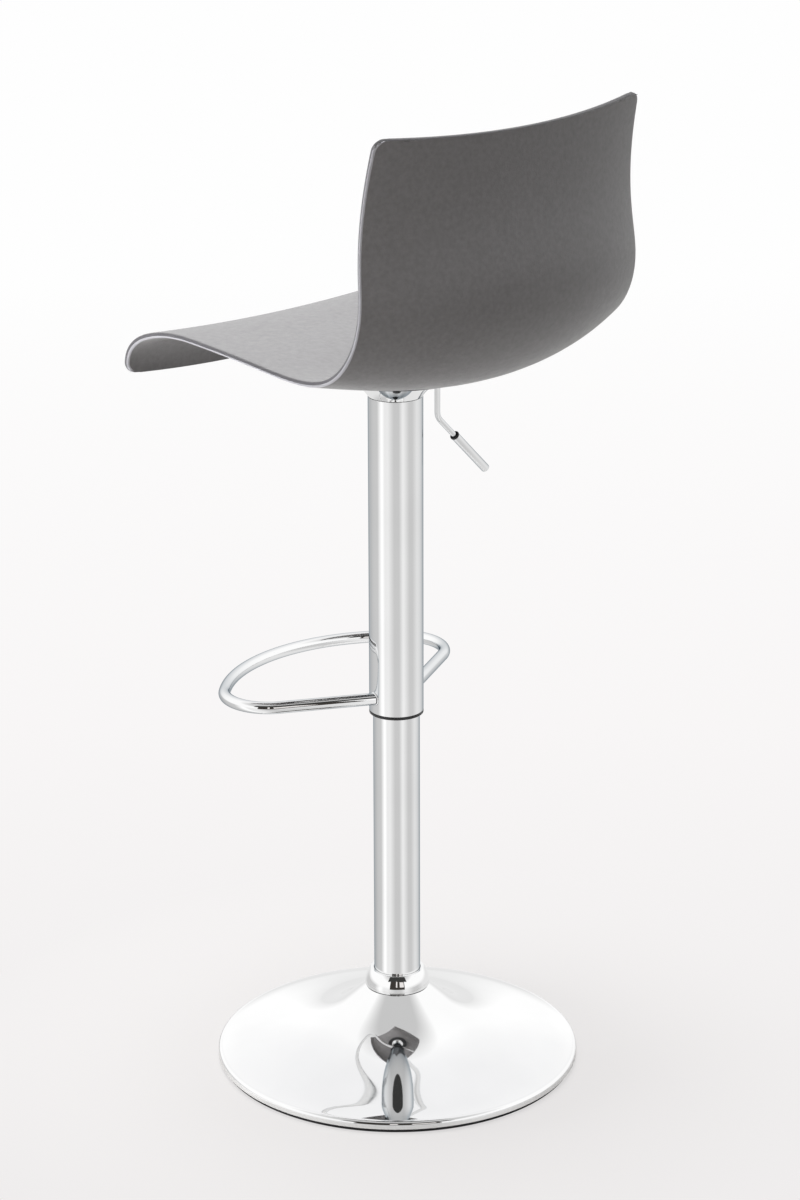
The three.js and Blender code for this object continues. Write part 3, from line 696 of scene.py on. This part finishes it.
PLATE_BOTTOM = bottom_of("seat_plate")
PLATE_TOP = top_of("seat_plate")
BOLT_X = (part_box("seat_bolt_1")[0].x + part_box("seat_bolt_1")[1].x) / 2
BOLT_Y = (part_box("seat_bolt_1")[0].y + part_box("seat_bolt_1")[1].y) / 2
BOLT_PLACES = [(BOLT_X, BOLT_Y), (-BOLT_X, BOLT_Y), (-BOLT_X, -BOLT_Y), (BOLT_X, -BOLT_Y)]
BOLT_RADIUS = 3 * MM
HUB_FLANGE_WIDTH = 8 * MM
THROUGH = 20 * MM  # height of a cutter, more than the plate's thickness
LEVER_DROP = 60 * MM  # where the lever hangs, towards -X
LEVER_RADIUS = 3 * MM


def cut(piece, cutter):
    """Cuts the cutter out of the piece and removes it."""
    boolean = piece.modifiers.new("cut", "BOOLEAN")
    boolean.operation = "DIFFERENCE"
    boolean.solver = "EXACT"
    boolean.object = cutter
    apply_modifier(piece, boolean)
    bpy.data.objects.remove(cutter)


def make_seat_plate():
    """The pressed plate that carries the shell, with its bolt holes and the lever's slot."""
    hole = radius_of("taper_hub") - HUB_FLANGE_WIDTH + GAP
    outer = radius_of("seat_plate")
    plate = ring("seat_mounting_plate", hole, outer, PLATE_BOTTOM, PLATE_TOP, PLATE_SIDES)
    middle = (PLATE_BOTTOM + PLATE_TOP) / 2
    for x, y in BOLT_PLACES:
        deselect()
        bpy.ops.mesh.primitive_cylinder_add(
            vertices=SMALL_SIDES, radius=BOLT_RADIUS + GAP, depth=THROUGH, location=(x, y, middle)
        )
        cut(plate, new_piece("bolt_hole"))
    margin = 2 * MM
    swing = 2.2 * MM  # how far the rod moves in its slot
    length = 2 * (LEVER_RADIUS + margin) + swing
    deselect()
    bpy.ops.mesh.primitive_cube_add(size=1, location=(-LEVER_DROP - swing / 2, 0, middle))
    slot = new_piece("lever_slot")
    slot.scale = (length, 2 * (LEVER_RADIUS + margin), THROUGH)
    settle(slot)
    cut(plate, slot)
    soften(plate, BROAD_EDGE)
    join([plate, make_plate_lip(outer)])
    belongs(plate, "carriage", "black_steel", "seat_plate")


def make_plate_lip(outer):
    """The plate's edge, turned down."""
    width, drop = 2 * MM, 1.3 * MM
    bottom, top = PLATE_BOTTOM - drop, PLATE_BOTTOM + GAP
    lip = ring("plate_lip", outer - width, outer, bottom, top, PLATE_SIDES)
    soften(lip, FINE_EDGE)
    return lip


def make_hub():
    """The tapered socket that the seat sits on, with its flange under the plate."""
    bottom, top = bottom_of("taper_hub"), top_of("taper_hub")
    flange, thickness = radius_of("taper_hub"), 4.5 * MM
    neck = flange - HUB_FLANGE_WIDTH
    flange_top = PLATE_BOTTOM - GAP
    flange_bottom = flange_top - thickness
    bore_low, bore_high = 14 * MM, 13.4 * MM
    profile = [(bore_low, bottom), (neck, bottom), (neck, flange_bottom), (flange, flange_bottom)]
    profile += [(flange, flange_top), (neck, flange_top), (neck, top), (bore_high, top)]
    hub = turned("taper_socket", profile)
    soften(hub, PLAIN_EDGE)
    belongs(hub, "carriage", "zinc_steel", "taper_hub")


def make_bolt():
    """A flanged hexagon bolt at the origin of plan, its shank up into the shell."""
    head_radius, head_height = 4.4 * MM, 4.4 * MM
    flange_radius, flange_height = 5.4 * MM, 1.4 * MM
    cone_share, cone_height = 0.8, 0.7 * MM  # the flange's slope starts inside the head
    seat_face = PLATE_BOTTOM - GAP
    hex_top = seat_face - flange_height
    deselect()
    bpy.ops.mesh.primitive_cylinder_add(
        vertices=6,
        radius=head_radius,
        depth=head_height,
        location=(0, 0, hex_top - head_height / 2),
    )
    head = new_piece("hexagon_bolt")
    settle(head)
    soften(head, PLAIN_EDGE, 2)
    shank_top = top_of("seat_bolt_1")
    profile = [(head_radius * cone_share, hex_top), (flange_radius, hex_top + cone_height)]
    profile += [(flange_radius, seat_face), (BOLT_RADIUS, seat_face), (BOLT_RADIUS, shank_top)]
    flange = turned("flange", profile, SMALL_SIDES, closed=False)
    soften(flange, HAIR_EDGE, 2)
    join([head, flange])
    return head


def make_seat_bolts():
    first = make_bolt()
    for i, (x, y) in enumerate(BOLT_PLACES, 1):
        bolt = copy_to(first, f"hexagon_bolt_{i}", (x, y, 0))
        belongs(bolt, "carriage", "black_steel", f"seat_bolt_{i}")
    bpy.data.objects.remove(first)


# Release lever


LEVER_HEIGHT = (bottom_of("lever_pivot_pin") + top_of("lever_pivot_pin")) / 2
TIP_PLACE = 3 * MM  # along X, like the next one
PIVOT_PLACE = -30 * MM
ELBOW_HEIGHT = 712 * MM
ELBOW_BEND = 14 * MM
TOP_BEND = 10 * MM
SLOPE = math.pi / 4
GRIP_START = 37 * MM  # from the elbow, along the slope
ROD_IN_GRIP = 40 * MM
DOWN_SLOPE = Vector((-math.sin(SLOPE), 0, -math.cos(SLOPE)))
ELBOW = Vector((-LEVER_DROP, 0, ELBOW_HEIGHT))


def make_lever():
    """A bent rod: under the seat, down, and out at a slope, with its pivot barrel."""
    side = Vector((0, 1, 0))
    tip = Vector((TIP_PLACE, 0, LEVER_HEIGHT))
    tangent = ELBOW_BEND * math.tan(SLOPE / 2)
    top_centre = Vector((-LEVER_DROP + TOP_BEND, 0, LEVER_HEIGHT - TOP_BEND))
    elbow_centre = Vector((-LEVER_DROP - ELBOW_BEND, 0, ELBOW_HEIGHT + tangent))
    top_steps, elbow_steps = 12, 10
    rod = point_tube("chromed_lever", tip, Vector((-1, 0, 0)), LEVER_RADIUS, ROD_SIDES)
    run_straight((top_centre.x - tip.x, 0, 0))
    bend(top_centre, side, -math.pi / 2, top_steps)
    run_straight((0, 0, elbow_centre.z - top_centre.z))
    bend(elbow_centre, side, SLOPE, elbow_steps)
    run_straight(DOWN_SLOPE * (GRIP_START + ROD_IN_GRIP - tangent))
    end_tube(rod)
    soften(rod, SOFT_EDGE, 2, sharpness=60)
    join([rod, make_barrel()])
    belongs(rod, "lever", "chrome", "release_lever", finish="chromed_tube")


def make_barrel():
    """The barrel on the rod that the pivot pin passes through."""
    deselect()
    bpy.ops.mesh.primitive_cylinder_add(
        vertices=SMALL_SIDES,
        radius=5.2 * MM,
        depth=11 * MM,
        location=(PIVOT_PLACE, 0, LEVER_HEIGHT),
        rotation=(math.pi / 2, 0, 0),
    )
    barrel = new_piece("pivot_barrel")
    settle(barrel)
    soften(barrel, CRISP_EDGE, 2)
    return barrel


def onto_slope(piece, distance):
    """Turns a piece made on the Z axis onto the lever's slope, at a distance below the elbow."""
    piece.rotation_euler = DOWN_SLOPE.to_track_quat("Z", "Y").to_euler()
    piece.location = ELBOW + DOWN_SLOPE * distance
    settle(piece)


def make_grip():
    """The chromed handle sleeve with its rounded closed end."""
    radius, length = 4.75 * MM, 64 * MM
    bore, bore_depth = LEVER_RADIUS + GAP, ROD_IN_GRIP + GAP
    end_round, end_steps = 1.2 * MM, 4
    profile = [(bore, bore_depth), (bore, 0), (radius, 0)]
    end_centre = (radius - end_round, length - end_round)
    profile += arc(end_centre, end_round, OUTWARD, UPWARD, end_steps)
    grip = turned("chromed_handle", profile, SMALL_SIDES, closed=False)
    smooth(grip)
    onto_slope(grip, GRIP_START)
    belongs(grip, "lever", "chrome", "lever_grip", finish="chromed_tube")


def make_grip_ring():
    """The black ring above the handle sleeve."""
    outer, length, above_grip = 5.2 * MM, 1.9 * MM, 2.2 * MM
    black = ring("black_handle_ring", LEVER_RADIUS + GAP, outer, 0, length, SMALL_SIDES)
    soften(black, SOFT_EDGE)
    onto_slope(black, GRIP_START - above_grip)
    belongs(black, "lever", "black_plastic", "lever_grip_ring")


# Seat shell


SEAT_WIDTH = 392 * MM
SEAT_DEPTH = 430 * MM
SEAT_RISE = 288.5 * MM
SEAT_WALL = 6 * MM
SEAT_CORNER = 12 * MM
# The side edge from the front lip to the top of the back: distance behind the axis as a
# share of the depth, and height over the plate as a share of the rise.
SIDE_EDGE_SHARES = [
    (-0.5, -0.057),
    (-0.507, 0.057),
    (-0.358, 0.151),
    (-0.198, 0.144),
    (-0.012, 0.13),
    (0.172, 0.102),
    (0.302, 0.147),
    (0.391, 0.4),
    (0.327, 0.664),
    (0.388, 1),
]
# Half-width along that edge, and how deep the middle lies below or behind the edges.
HALF_WIDTH_SHARES = [0.939, 0.969, 0.99, 1, 0.985, 0.923]
HOLLOW_SHARES = [0.026, 0.02, 0.02, 0.018, 0.015, 0.084, 0.143, 0.128, 0.071]
HOLLOW_TURN_SHARES = (0.3, 0.6)  # where the hollow turns from downward to square-on
SEAT_ROWS = 150
SEAT_COLUMNS = 56
CORNER_ROWS = 9  # in each rounded corner
EDGE_SAMPLES = 600  # along the side edge, to measure its length
INNER_ROUND = 1 * MM  # of the edge on the sitter's side
OUTER_ROUND = 2.2 * MM
# Rises of a face's normal that choose the edge's painted shade and painted highlight.
LOOKS_UP = 0.6  # rise of a face's normal from which the face looks up
LOOKS_OUT = 0.3  # rise below which it looks outwards or down


def spline(points, t):
    """A point of the cubic curve that starts and ends on its control points."""
    degree = 3
    spans = len(points) - degree
    knots = [min(max(i - degree, 0), spans) / spans for i in range(len(points) + degree + 1)]
    span = min(degree + int(t * spans), len(points) - 1)
    near = [Vector(points[span - degree + i]) for i in range(degree + 1)]
    for level in range(1, degree + 1):
        for i in range(degree, level - 1, -1):
            k = span - degree + i
            share = (t - knots[k]) / (knots[k + degree + 1 - level] - knots[k])
            near[i] = near[i - 1] * (1 - share) + near[i] * share
    return near[degree]


SIDE_EDGE = [(y * SEAT_DEPTH, PLATE_TOP + z * SEAT_RISE) for y, z in SIDE_EDGE_SHARES]
HALF_WIDTHS = [(w * SEAT_WIDTH / 2, 0) for w in HALF_WIDTH_SHARES]
HOLLOWS = [(h * SEAT_WIDTH, 0) for h in HOLLOW_SHARES]


def shell_row(t):
    """What the shell is along one row: edge point, half-width and the hollow as a vector."""
    here = spline(SIDE_EDGE, t)
    after, before = min(t + SMALL_STEP, 1), max(t - SMALL_STEP, 0)
    tangent = spline(SIDE_EDGE, after) - spline(SIDE_EDGE, before)
    tangent.normalize()
    start, end = HOLLOW_TURN_SHARES
    x = min(max((t - start) / (end - start), 0), 1)
    turn = x * x * (3 - 2 * x)
    away = Vector((turn * tangent.y, -turn * tangent.x - (1 - turn))).normalized()
    return here, spline(HALF_WIDTHS, t).x, away * spline(HOLLOWS, t).x


def edge_lengths():
    """Length along the side edge at each of its samples."""
    points = [spline(SIDE_EDGE, i / EDGE_SAMPLES) for i in range(EDGE_SAMPLES + 1)]
    lengths = [0]
    for i in range(EDGE_SAMPLES):
        lengths.append(lengths[-1] + (points[i + 1] - points[i]).length)
    return lengths


def row_stations(total):
    """Where the rows lie along the edge: evenly, but closer inside the rounded corners."""
    turns = [math.pi / 2 * i / CORNER_ROWS for i in range(CORNER_ROWS)]
    corner = [SEAT_CORNER * (1 - math.cos(turn)) for turn in turns]
    inside = SEAT_ROWS - 2 * CORNER_ROWS
    between = total - 2 * SEAT_CORNER
    middle = [SEAT_CORNER + between * i / (inside - 1) for i in range(inside)]
    return corner + middle + [total - s for s in reversed(corner)]


def shell_rows():
    """What each row is, with the share of its half-width that the corners leave it."""
    lengths = edge_lengths()
    total = lengths[-1]
    rows = []
    k = 0
    for station in row_stations(total):
        while k < EDGE_SAMPLES - 1 and lengths[k + 1] < station:
            k += 1
        t = (k + (station - lengths[k]) / (lengths[k + 1] - lengths[k])) / EDGE_SAMPLES
        here, half_width, hollow = shell_row(min(max(t, 0), 1))
        short = SEAT_CORNER - min(station, total - station, SEAT_CORNER)
        cut_back = SEAT_CORNER - math.sqrt(max(SEAT_CORNER**2 - short**2, 0))
        rows.append((here, half_width, hollow, 1 - cut_back / half_width))
    return rows


def shell_sheet():
    """The shell's middle surface: a grid rolled and hollowed to the shell's curves."""
    rows = shell_rows()
    deselect()
    bpy.ops.mesh.primitive_grid_add(
        x_subdivisions=SEAT_COLUMNS, y_subdivisions=len(rows) - 1, size=1, location=(0, 0, 0)
    )
    shell = new_piece("seat_moulding")
    for vertex in shell.data.vertices:
        row = round((vertex.co.y + 0.5) * (len(rows) - 1))
        here, half_width, hollow, share = rows[row]
        v = 2 * vertex.co.x * share
        place = here + hollow * (1 - v * v)
        vertex.co = (half_width * v, place.x, place.y)
    return shell


def select_between(mesh, first, second):
    """Selects the edges between faces of two material numbers."""
    numbers = {}
    for face in mesh.polygons:
        for key in face.edge_keys:
            numbers.setdefault(key, set()).add(face.material_index)
    for edge in mesh.edges:
        edge.select = numbers.get(tuple(sorted(edge.vertices)), set()) == {first, second}


def clear_selection(mesh):
    for group in (mesh.vertices, mesh.edges, mesh.polygons):
        group.foreach_set("select", [False] * len(group))


def round_off(mesh, first, second, width, number):
    """Rounds the edges between two material numbers, with faces of a third number."""
    clear_selection(mesh)
    select_between(mesh, first, second)
    edit()
    bpy.ops.mesh.select_mode(type="EDGE")
    bpy.ops.mesh.bevel(offset=width, segments=4, affect="EDGES", material=number)
    bpy.ops.mesh.select_all(action="DESELECT")
    leave_edit()


def thicken(shell):
    """Gives the sheet its wall, rounds its edge and marks its bands of painted light and shade."""
    numbers = range(5)
    seat_side, rim, far_side, inner_round, outer_round = numbers
    for _ in numbers:
        shell.data.materials.append(None)
    wall = shell.modifiers.new("wall", "SOLIDIFY")
    wall.thickness = SEAT_WALL
    wall.offset = 0
    wall.use_even_offset = True
    wall.use_quality_normals = True
    wall.material_offset_rim = rim
    wall.material_offset = far_side
    apply_modifier(shell, wall)
    mesh = shell.data
    round_off(mesh, seat_side, rim, INNER_ROUND, inner_round)
    round_off(mesh, far_side, rim, OUTER_ROUND, outer_round)
    painted_bands = mesh.attributes.new(PAINTED_EDGE_LIGHT, "FLOAT", "FACE")
    # Painted shade on the rim's wall and darker painted shade where the rim or outer rounding
    # looks up; a painted highlight where the outer rounding looks outwards or down.
    for i, face in enumerate(mesh.polygons):
        if face.material_index in (rim, outer_round) and face.normal.z > LOOKS_UP:
            painted_bands.data[i].value = TOP_SHADE_PAINTED_BAND
        elif face.material_index == rim:
            painted_bands.data[i].value = SHADE_PAINTED_BAND
        elif face.material_index == outer_round and face.normal.z < LOOKS_OUT:
            painted_bands.data[i].value = HIGHLIGHT_PAINTED_BAND


def make_boss(x, y, top):
    """A moulded boss under the shell, flared at its root, with the hole for its insert."""
    insert_wall = 0.7 * MM
    radius, flare = 9 * MM, 2 * MM
    root = 0.4 * flare
    foot = PLATE_TOP + GAP
    hole = BOLT_RADIUS + 2 * GAP + insert_wall
    profile = [(hole, foot), (radius, foot), (radius, top - flare)]
    profile += [(radius + root, top - root), (radius + flare, top), (hole, top)]
    boss = turned("boss", profile, SMALL_SIDES)
    soften(boss, FINE_EDGE, 2)
    boss.location = (x, y, 0)
    settle(boss)
    return boss


def underside_height(shell, x, y):
    """Height of the shell's underside over a place in plan."""
    hit, place, _, _ = shell.ray_cast(Vector((x, y, PLATE_TOP)), Vector((0, 0, 1)))
    if not hit:
        raise ValueError("nothing of the shell is over the boss")
    return place.z


def make_shell():
    """The moulded seat and back, with its four bosses sunk a little into the wall."""
    sunk = 2.5 * MM
    shell = shell_sheet()
    thicken(shell)
    bosses = [make_boss(x, y, underside_height(shell, x, y) + sunk) for x, y in BOLT_PLACES]
    join([shell, *bosses])
    for face in shell.data.polygons:
        face.material_index = 0
    smooth(shell, sharpness=30)
    belongs(shell, "carriage", "grey_plastic", "seat_shell")


# Camera, floor and light


CAMERA_DISTANCE = 3609 * MM
CAMERA_HEIGHT = 1762 * MM
CAMERA_TURN = math.radians(137.2)
CAMERA_PITCH = math.radians(16.5)
CAMERA_ROLL = math.radians(0.18)
PICTURE_HEIGHT = 1200
PICTURE_WIDTH = 800
FOCAL_PIXELS = 3608
PRINCIPAL_POINT = (395.6, 445.5)  # where the lens looks, in picture pixels
SENSOR = 36  # millimetres, for the whole height


def add_camera():
    data = bpy.data.cameras.new("camera")
    camera = bpy.data.objects.new("camera", data)
    bpy.context.scene.collection.objects.link(camera)
    data.sensor_fit = "VERTICAL"
    data.sensor_height = SENSOR
    data.sensor_width = SENSOR
    data.lens = SENSOR * FOCAL_PIXELS / PICTURE_HEIGHT
    data.shift_x = (PICTURE_WIDTH / 2 - PRINCIPAL_POINT[0]) / PICTURE_HEIGHT
    data.shift_y = (PRINCIPAL_POINT[1] - PICTURE_HEIGHT / 2) / PICTURE_HEIGHT
    data.clip_end = 100
    heading = Vector((-math.sin(CAMERA_TURN), math.cos(CAMERA_TURN), 0))
    looks = heading * math.cos(CAMERA_PITCH) - Vector((0, 0, math.sin(CAMERA_PITCH)))
    camera.location = -heading * CAMERA_DISTANCE + Vector((0, 0, CAMERA_HEIGHT))
    roll = Quaternion((0, 0, 1), -CAMERA_ROLL)
    camera.rotation_euler = (looks.to_track_quat("-Z", "Y") @ roll).to_euler()
    bpy.context.scene.camera = camera


# A guess at the studio round the stool, as the chrome sees it at floor level: pale paper, with
# three grey flags and a lamp before it. Degrees from +X towards +Y between which each one
# stands, and its tone. Over the gaps one fades into the next.
PAPER, BRIGHT_PAPER, FLAG, LAMP = "#dcdcdc", "#e4e4e4", "#c2c2c2", "#fafafa"
STUDIO_WALLS = [
    (-180, -100, PAPER),
    (-80, -35, FLAG),
    (-15, -10, LAMP),
    (0, 15, BRIGHT_PAPER),
    (40, 60, FLAG),
    (75, 80, BRIGHT_PAPER),
    (105, 120, FLAG),
    (145, 180, PAPER),
]
# How bright the studio stands for the chrome
FLOOR_GLARE = 1.2
FLOOR_SIZE = 60
FLOOR_DROP = 0.2 * MM  # under the rubber ring
# Where the set tones take over from the floor's real light and shade: metres from the column
# at which that starts and ends, and the share that they have nearer than that.
SEEN_FADE = (0.2, 0.5, 0.75)
MIRRORED_FADE = (0.19, 0.24, 0.1)
# The floor as the camera sees it near, further off and far away: metres behind the column,
# along the view, and a grey.
FLOOR_TONES = [(-0.35, "#efeded"), (1, "#f8f6f6"), (3.5, "#fefefe")]


def ramp_of(tree, factor, stops):
    """A colour ramp through (position, colour) stops."""
    ramp = add_node(tree, "ShaderNodeValToRGB", {"Fac": factor})
    elements = ramp.color_ramp.elements
    while len(elements) < len(stops):
        elements.new(0.5)
    for element, (position, tone) in zip(elements, stops):
        element.position = position
        element.color = colour(tone)
    return ramp.outputs["Color"]


def studio_greys(tree, place):
    """The grey of the studio in the direction of a place on the floor."""
    split = add_node(tree, "ShaderNodeSeparateXYZ", {0: place})
    turn = math_of(tree, "ARCTAN2", split.outputs["Y"], split.outputs["X"])
    share = rescale(tree, turn, -math.pi, math.pi)
    sides = [(side, grey) for start, end, grey in STUDIO_WALLS for side in (start, end)]
    return ramp_of(tree, share, [(degrees / 360 + 0.5, grey) for degrees, grey in sides])


def floor_tones(tree, place):
    """The grey of the floor by its distance along the view."""
    near, far = FLOOR_TONES[0][0], FLOOR_TONES[-1][0]
    heading = (-math.sin(CAMERA_TURN), math.cos(CAMERA_TURN), 0)
    depth = add_node(tree, "ShaderNodeVectorMath", {0: place, 1: heading}, operation="DOT_PRODUCT")
    share = rescale(tree, depth.outputs["Value"], near, far)
    stops = [((metres - near) / (far - near), grey) for metres, grey in FLOOR_TONES]
    return ramp_of(tree, share, stops)


def mix_shaders(tree, factor, first, second):
    """Goes from one shader node to another by a factor."""
    inputs = {"Fac": factor, 1: first.outputs[0], 2: second.outputs[0]}
    return add_node(tree, "ShaderNodeMixShader", inputs)


def make_floor():
    """A wide pale floor. The camera and the chrome see it nearly white, with the shadow kept."""
    deselect()
    bpy.ops.mesh.primitive_plane_add(size=FLOOR_SIZE, location=(0, 0, -FLOOR_DROP))
    floor = new_piece("floor")
    settle(floor)
    material = bpy.data.materials.new("pale_floor")
    tree = emptied(material)
    path = add_node(tree, "ShaderNodeLightPath")
    place = add_node(tree, "ShaderNodeTexCoord").outputs["Object"]
    far = add_node(tree, "ShaderNodeVectorMath", {0: place}, operation="LENGTH").outputs["Value"]
    matt = add_node(tree, "ShaderNodeBsdfDiffuse", {"Color": colour("#d4d2d0")})
    seen = add_node(tree, "ShaderNodeEmission", {"Color": floor_tones(tree, place)})
    mirrored = add_node(
        tree, "ShaderNodeEmission", {"Color": studio_greys(tree, place), "Strength": FLOOR_GLARE}
    )
    seen_share = rescale(tree, far, *SEEN_FADE, 1)
    mirrored_share = rescale(tree, far, *MIRRORED_FADE, 1)
    to_camera = math_of(tree, "MULTIPLY", path.outputs["Is Camera Ray"], seen_share)
    to_chrome = math_of(tree, "MULTIPLY", path.outputs["Is Glossy Ray"], mirrored_share)
    lit = mix_shaders(tree, to_camera, matt, seen)
    mixed = mix_shaders(tree, to_chrome, lit, mirrored)
    add_node(tree, "ShaderNodeOutputMaterial", {"Surface": mixed.outputs[0]})
    floor.data.materials.append(material)


# What stands behind the camera for the chrome to mirror, as upright cards: distance from the
# column, middle to the picture's right, width, bottom, top and grey.
ROOM_CARDS = {
    "unlit_room": (4, 0, 3.9, 0, 2.8, "#403c39"),
    "unlit_ceiling": (4, 0, 6, 2.8, 6.4, "#3e3e3d"),
    "narrow_window": (3.9, -0.16, 0.33, 0.78, 2.7, "#f4f0ee"),
    "wide_window": (3.9, 1.15, 1.1, 0.78, 2.5, "#f4f0ee"),
}


def make_room_card(name, distance, across, width, bottom, top, grey):
    """A card that only the chrome sees."""
    towards = Vector((math.sin(CAMERA_TURN), -math.cos(CAMERA_TURN), 0))
    right = Vector((math.cos(CAMERA_TURN), math.sin(CAMERA_TURN), 0))
    deselect()
    bpy.ops.mesh.primitive_plane_add(
        size=1,
        location=towards * distance + right * across + Vector((0, 0, (bottom + top) / 2)),
        rotation=(math.pi / 2, 0, CAMERA_TURN),
    )
    card = new_piece(name)
    card.scale = (width, top - bottom, 1)
    settle(card)
    material = bpy.data.materials.new(name)
    tree = emptied(material)
    glow = add_node(tree, "ShaderNodeEmission", {"Color": colour(grey)})
    add_node(tree, "ShaderNodeOutputMaterial", {"Surface": glow.outputs[0]})
    card.data.materials.append(material)
    for kind in ("camera", "diffuse", "shadow", "transmission"):
        setattr(card, f"visible_{kind}", False)


def make_room():
    for name, card in ROOM_CARDS.items():
        make_room_card(name, *card)


CEILING_RISE = math.radians(68)  # of the grey ceiling's middle, over the camera
CEILING_FADE = (0.68, 0.9)  # cosines between which it goes from white to its grey
BACKDROP_RISE = math.radians(47)  # of the backdrop's greyer upper part
BACKDROP_FADE = (0.86, 0.99)
FLAG_SHARE, FLAG_RISE = 0.7, 0.16  # how grey the flags are at the horizon, and where they end
STUDIO_GLARE = 1.12
SOFT_FILL = 0.03  # strength of the world's own light on the stool


def studio_direction(tree, side, rise):
    """How nearly a ray of the world runs along this rise, towards the camera 1 or away -1."""
    towards = add_node(tree, "ShaderNodeTexCoord").outputs["Object"]
    level = math.cos(rise) * side
    middle = (math.sin(CAMERA_TURN) * level, -math.cos(CAMERA_TURN) * level, math.sin(rise))
    near = add_node(tree, "ShaderNodeVectorMath", {0: towards, 1: middle}, operation="DOT_PRODUCT")
    return near.outputs["Value"]


def ceiling_greys(tree):
    """What the chrome sees of the studio by direction: white, with a grey ceiling towards the
    camera, a slightly grey backdrop behind the stool and the studio's greys at the horizon."""
    ceiling = rescale(tree, studio_direction(tree, 1, CEILING_RISE), *CEILING_FADE)
    backdrop = rescale(tree, studio_direction(tree, -1, BACKDROP_RISE), *BACKDROP_FADE)
    grey = mix_colours(tree, ceiling, "#fdfdfd", "#c6c6c6")
    paper = mix_colours(tree, backdrop, "#ffffff", "#f2f2f3")
    both = mix_colours(tree, 1, grey, paper, "MULTIPLY")
    towards = add_node(tree, "ShaderNodeTexCoord").outputs["Object"]
    height = add_node(tree, "ShaderNodeSeparateXYZ", {0: towards}).outputs["Z"]
    flags = rescale(tree, height, 0, FLAG_RISE, FLAG_SHARE, 0)
    return mix_colours(tree, flags, both, studio_greys(tree, towards))


def light_world():
    """White for the camera, the studio for the chrome and a little soft light for the rest."""
    world = bpy.data.worlds.new("studio")
    bpy.context.scene.world = world
    tree = emptied(world)
    path = add_node(tree, "ShaderNodeLightPath")

    def background(tone, strength):
        return add_node(tree, "ShaderNodeBackground", {"Color": tone, "Strength": strength})

    soft = background(colour("#f4f5f8"), SOFT_FILL)
    white = background(colour("#fefefe"), 1)
    mirrored = background(ceiling_greys(tree), STUDIO_GLARE)
    lit = mix_shaders(tree, path.outputs["Is Camera Ray"], soft, white)
    mixed = mix_shaders(tree, path.outputs["Is Glossy Ray"], lit, mirrored)
    add_node(tree, "ShaderNodeOutputWorld", {"Surface": mixed.outputs[0]})


# The lamps, each aimed at the column: place, width and depth, power and tint.
SOFTBOXES = {
    "top_softbox": ((0, -0.4, 3.2), (2.4, 2.4), 172, "#ffffff"),
    "low_front_softbox": ((1.0, -0.9, 0.05), (1.0, 0.8), 45, "#ffffff"),
    "low_wide_softbox": ((1.6, 2.2, 0.05), (2.6, 1.6), 28, "#fff7f0"),
}
AIM = Vector((0, 0, 0.6))


def add_softbox(name, place, size, power, tone):
    data = bpy.data.lights.new(name, "AREA")
    data.shape = "RECTANGLE"
    data.size, data.size_y = size
    data.energy = power
    data.color = colour(tone)[:3]
    lamp = bpy.data.objects.new(name, data)
    lamp.visible_glossy = False  # the chrome mirrors the even studio instead
    bpy.context.scene.collection.objects.link(lamp)
    lamp.location = place
    lamp.rotation_euler = (AIM - Vector(place)).to_track_quat("-Z", "Y").to_euler()


def light_studio():
    light_world()
    for name, lamp in SOFTBOXES.items():
        add_softbox(name, *lamp)


finish_frame()
add_camera()
make_base()
make_floor_ring()
make_collar()
make_stand_tube()
make_sleeve()
make_end_ring()
make_bell()
make_footrest()
make_seat_plate()
make_hub()
make_seat_bolts()
make_lever()
make_grip()
make_grip_ring()
make_shell()
make_floor()
make_room()
light_studio()

bpy.context.scene.view_settings.view_transform = "Standard"
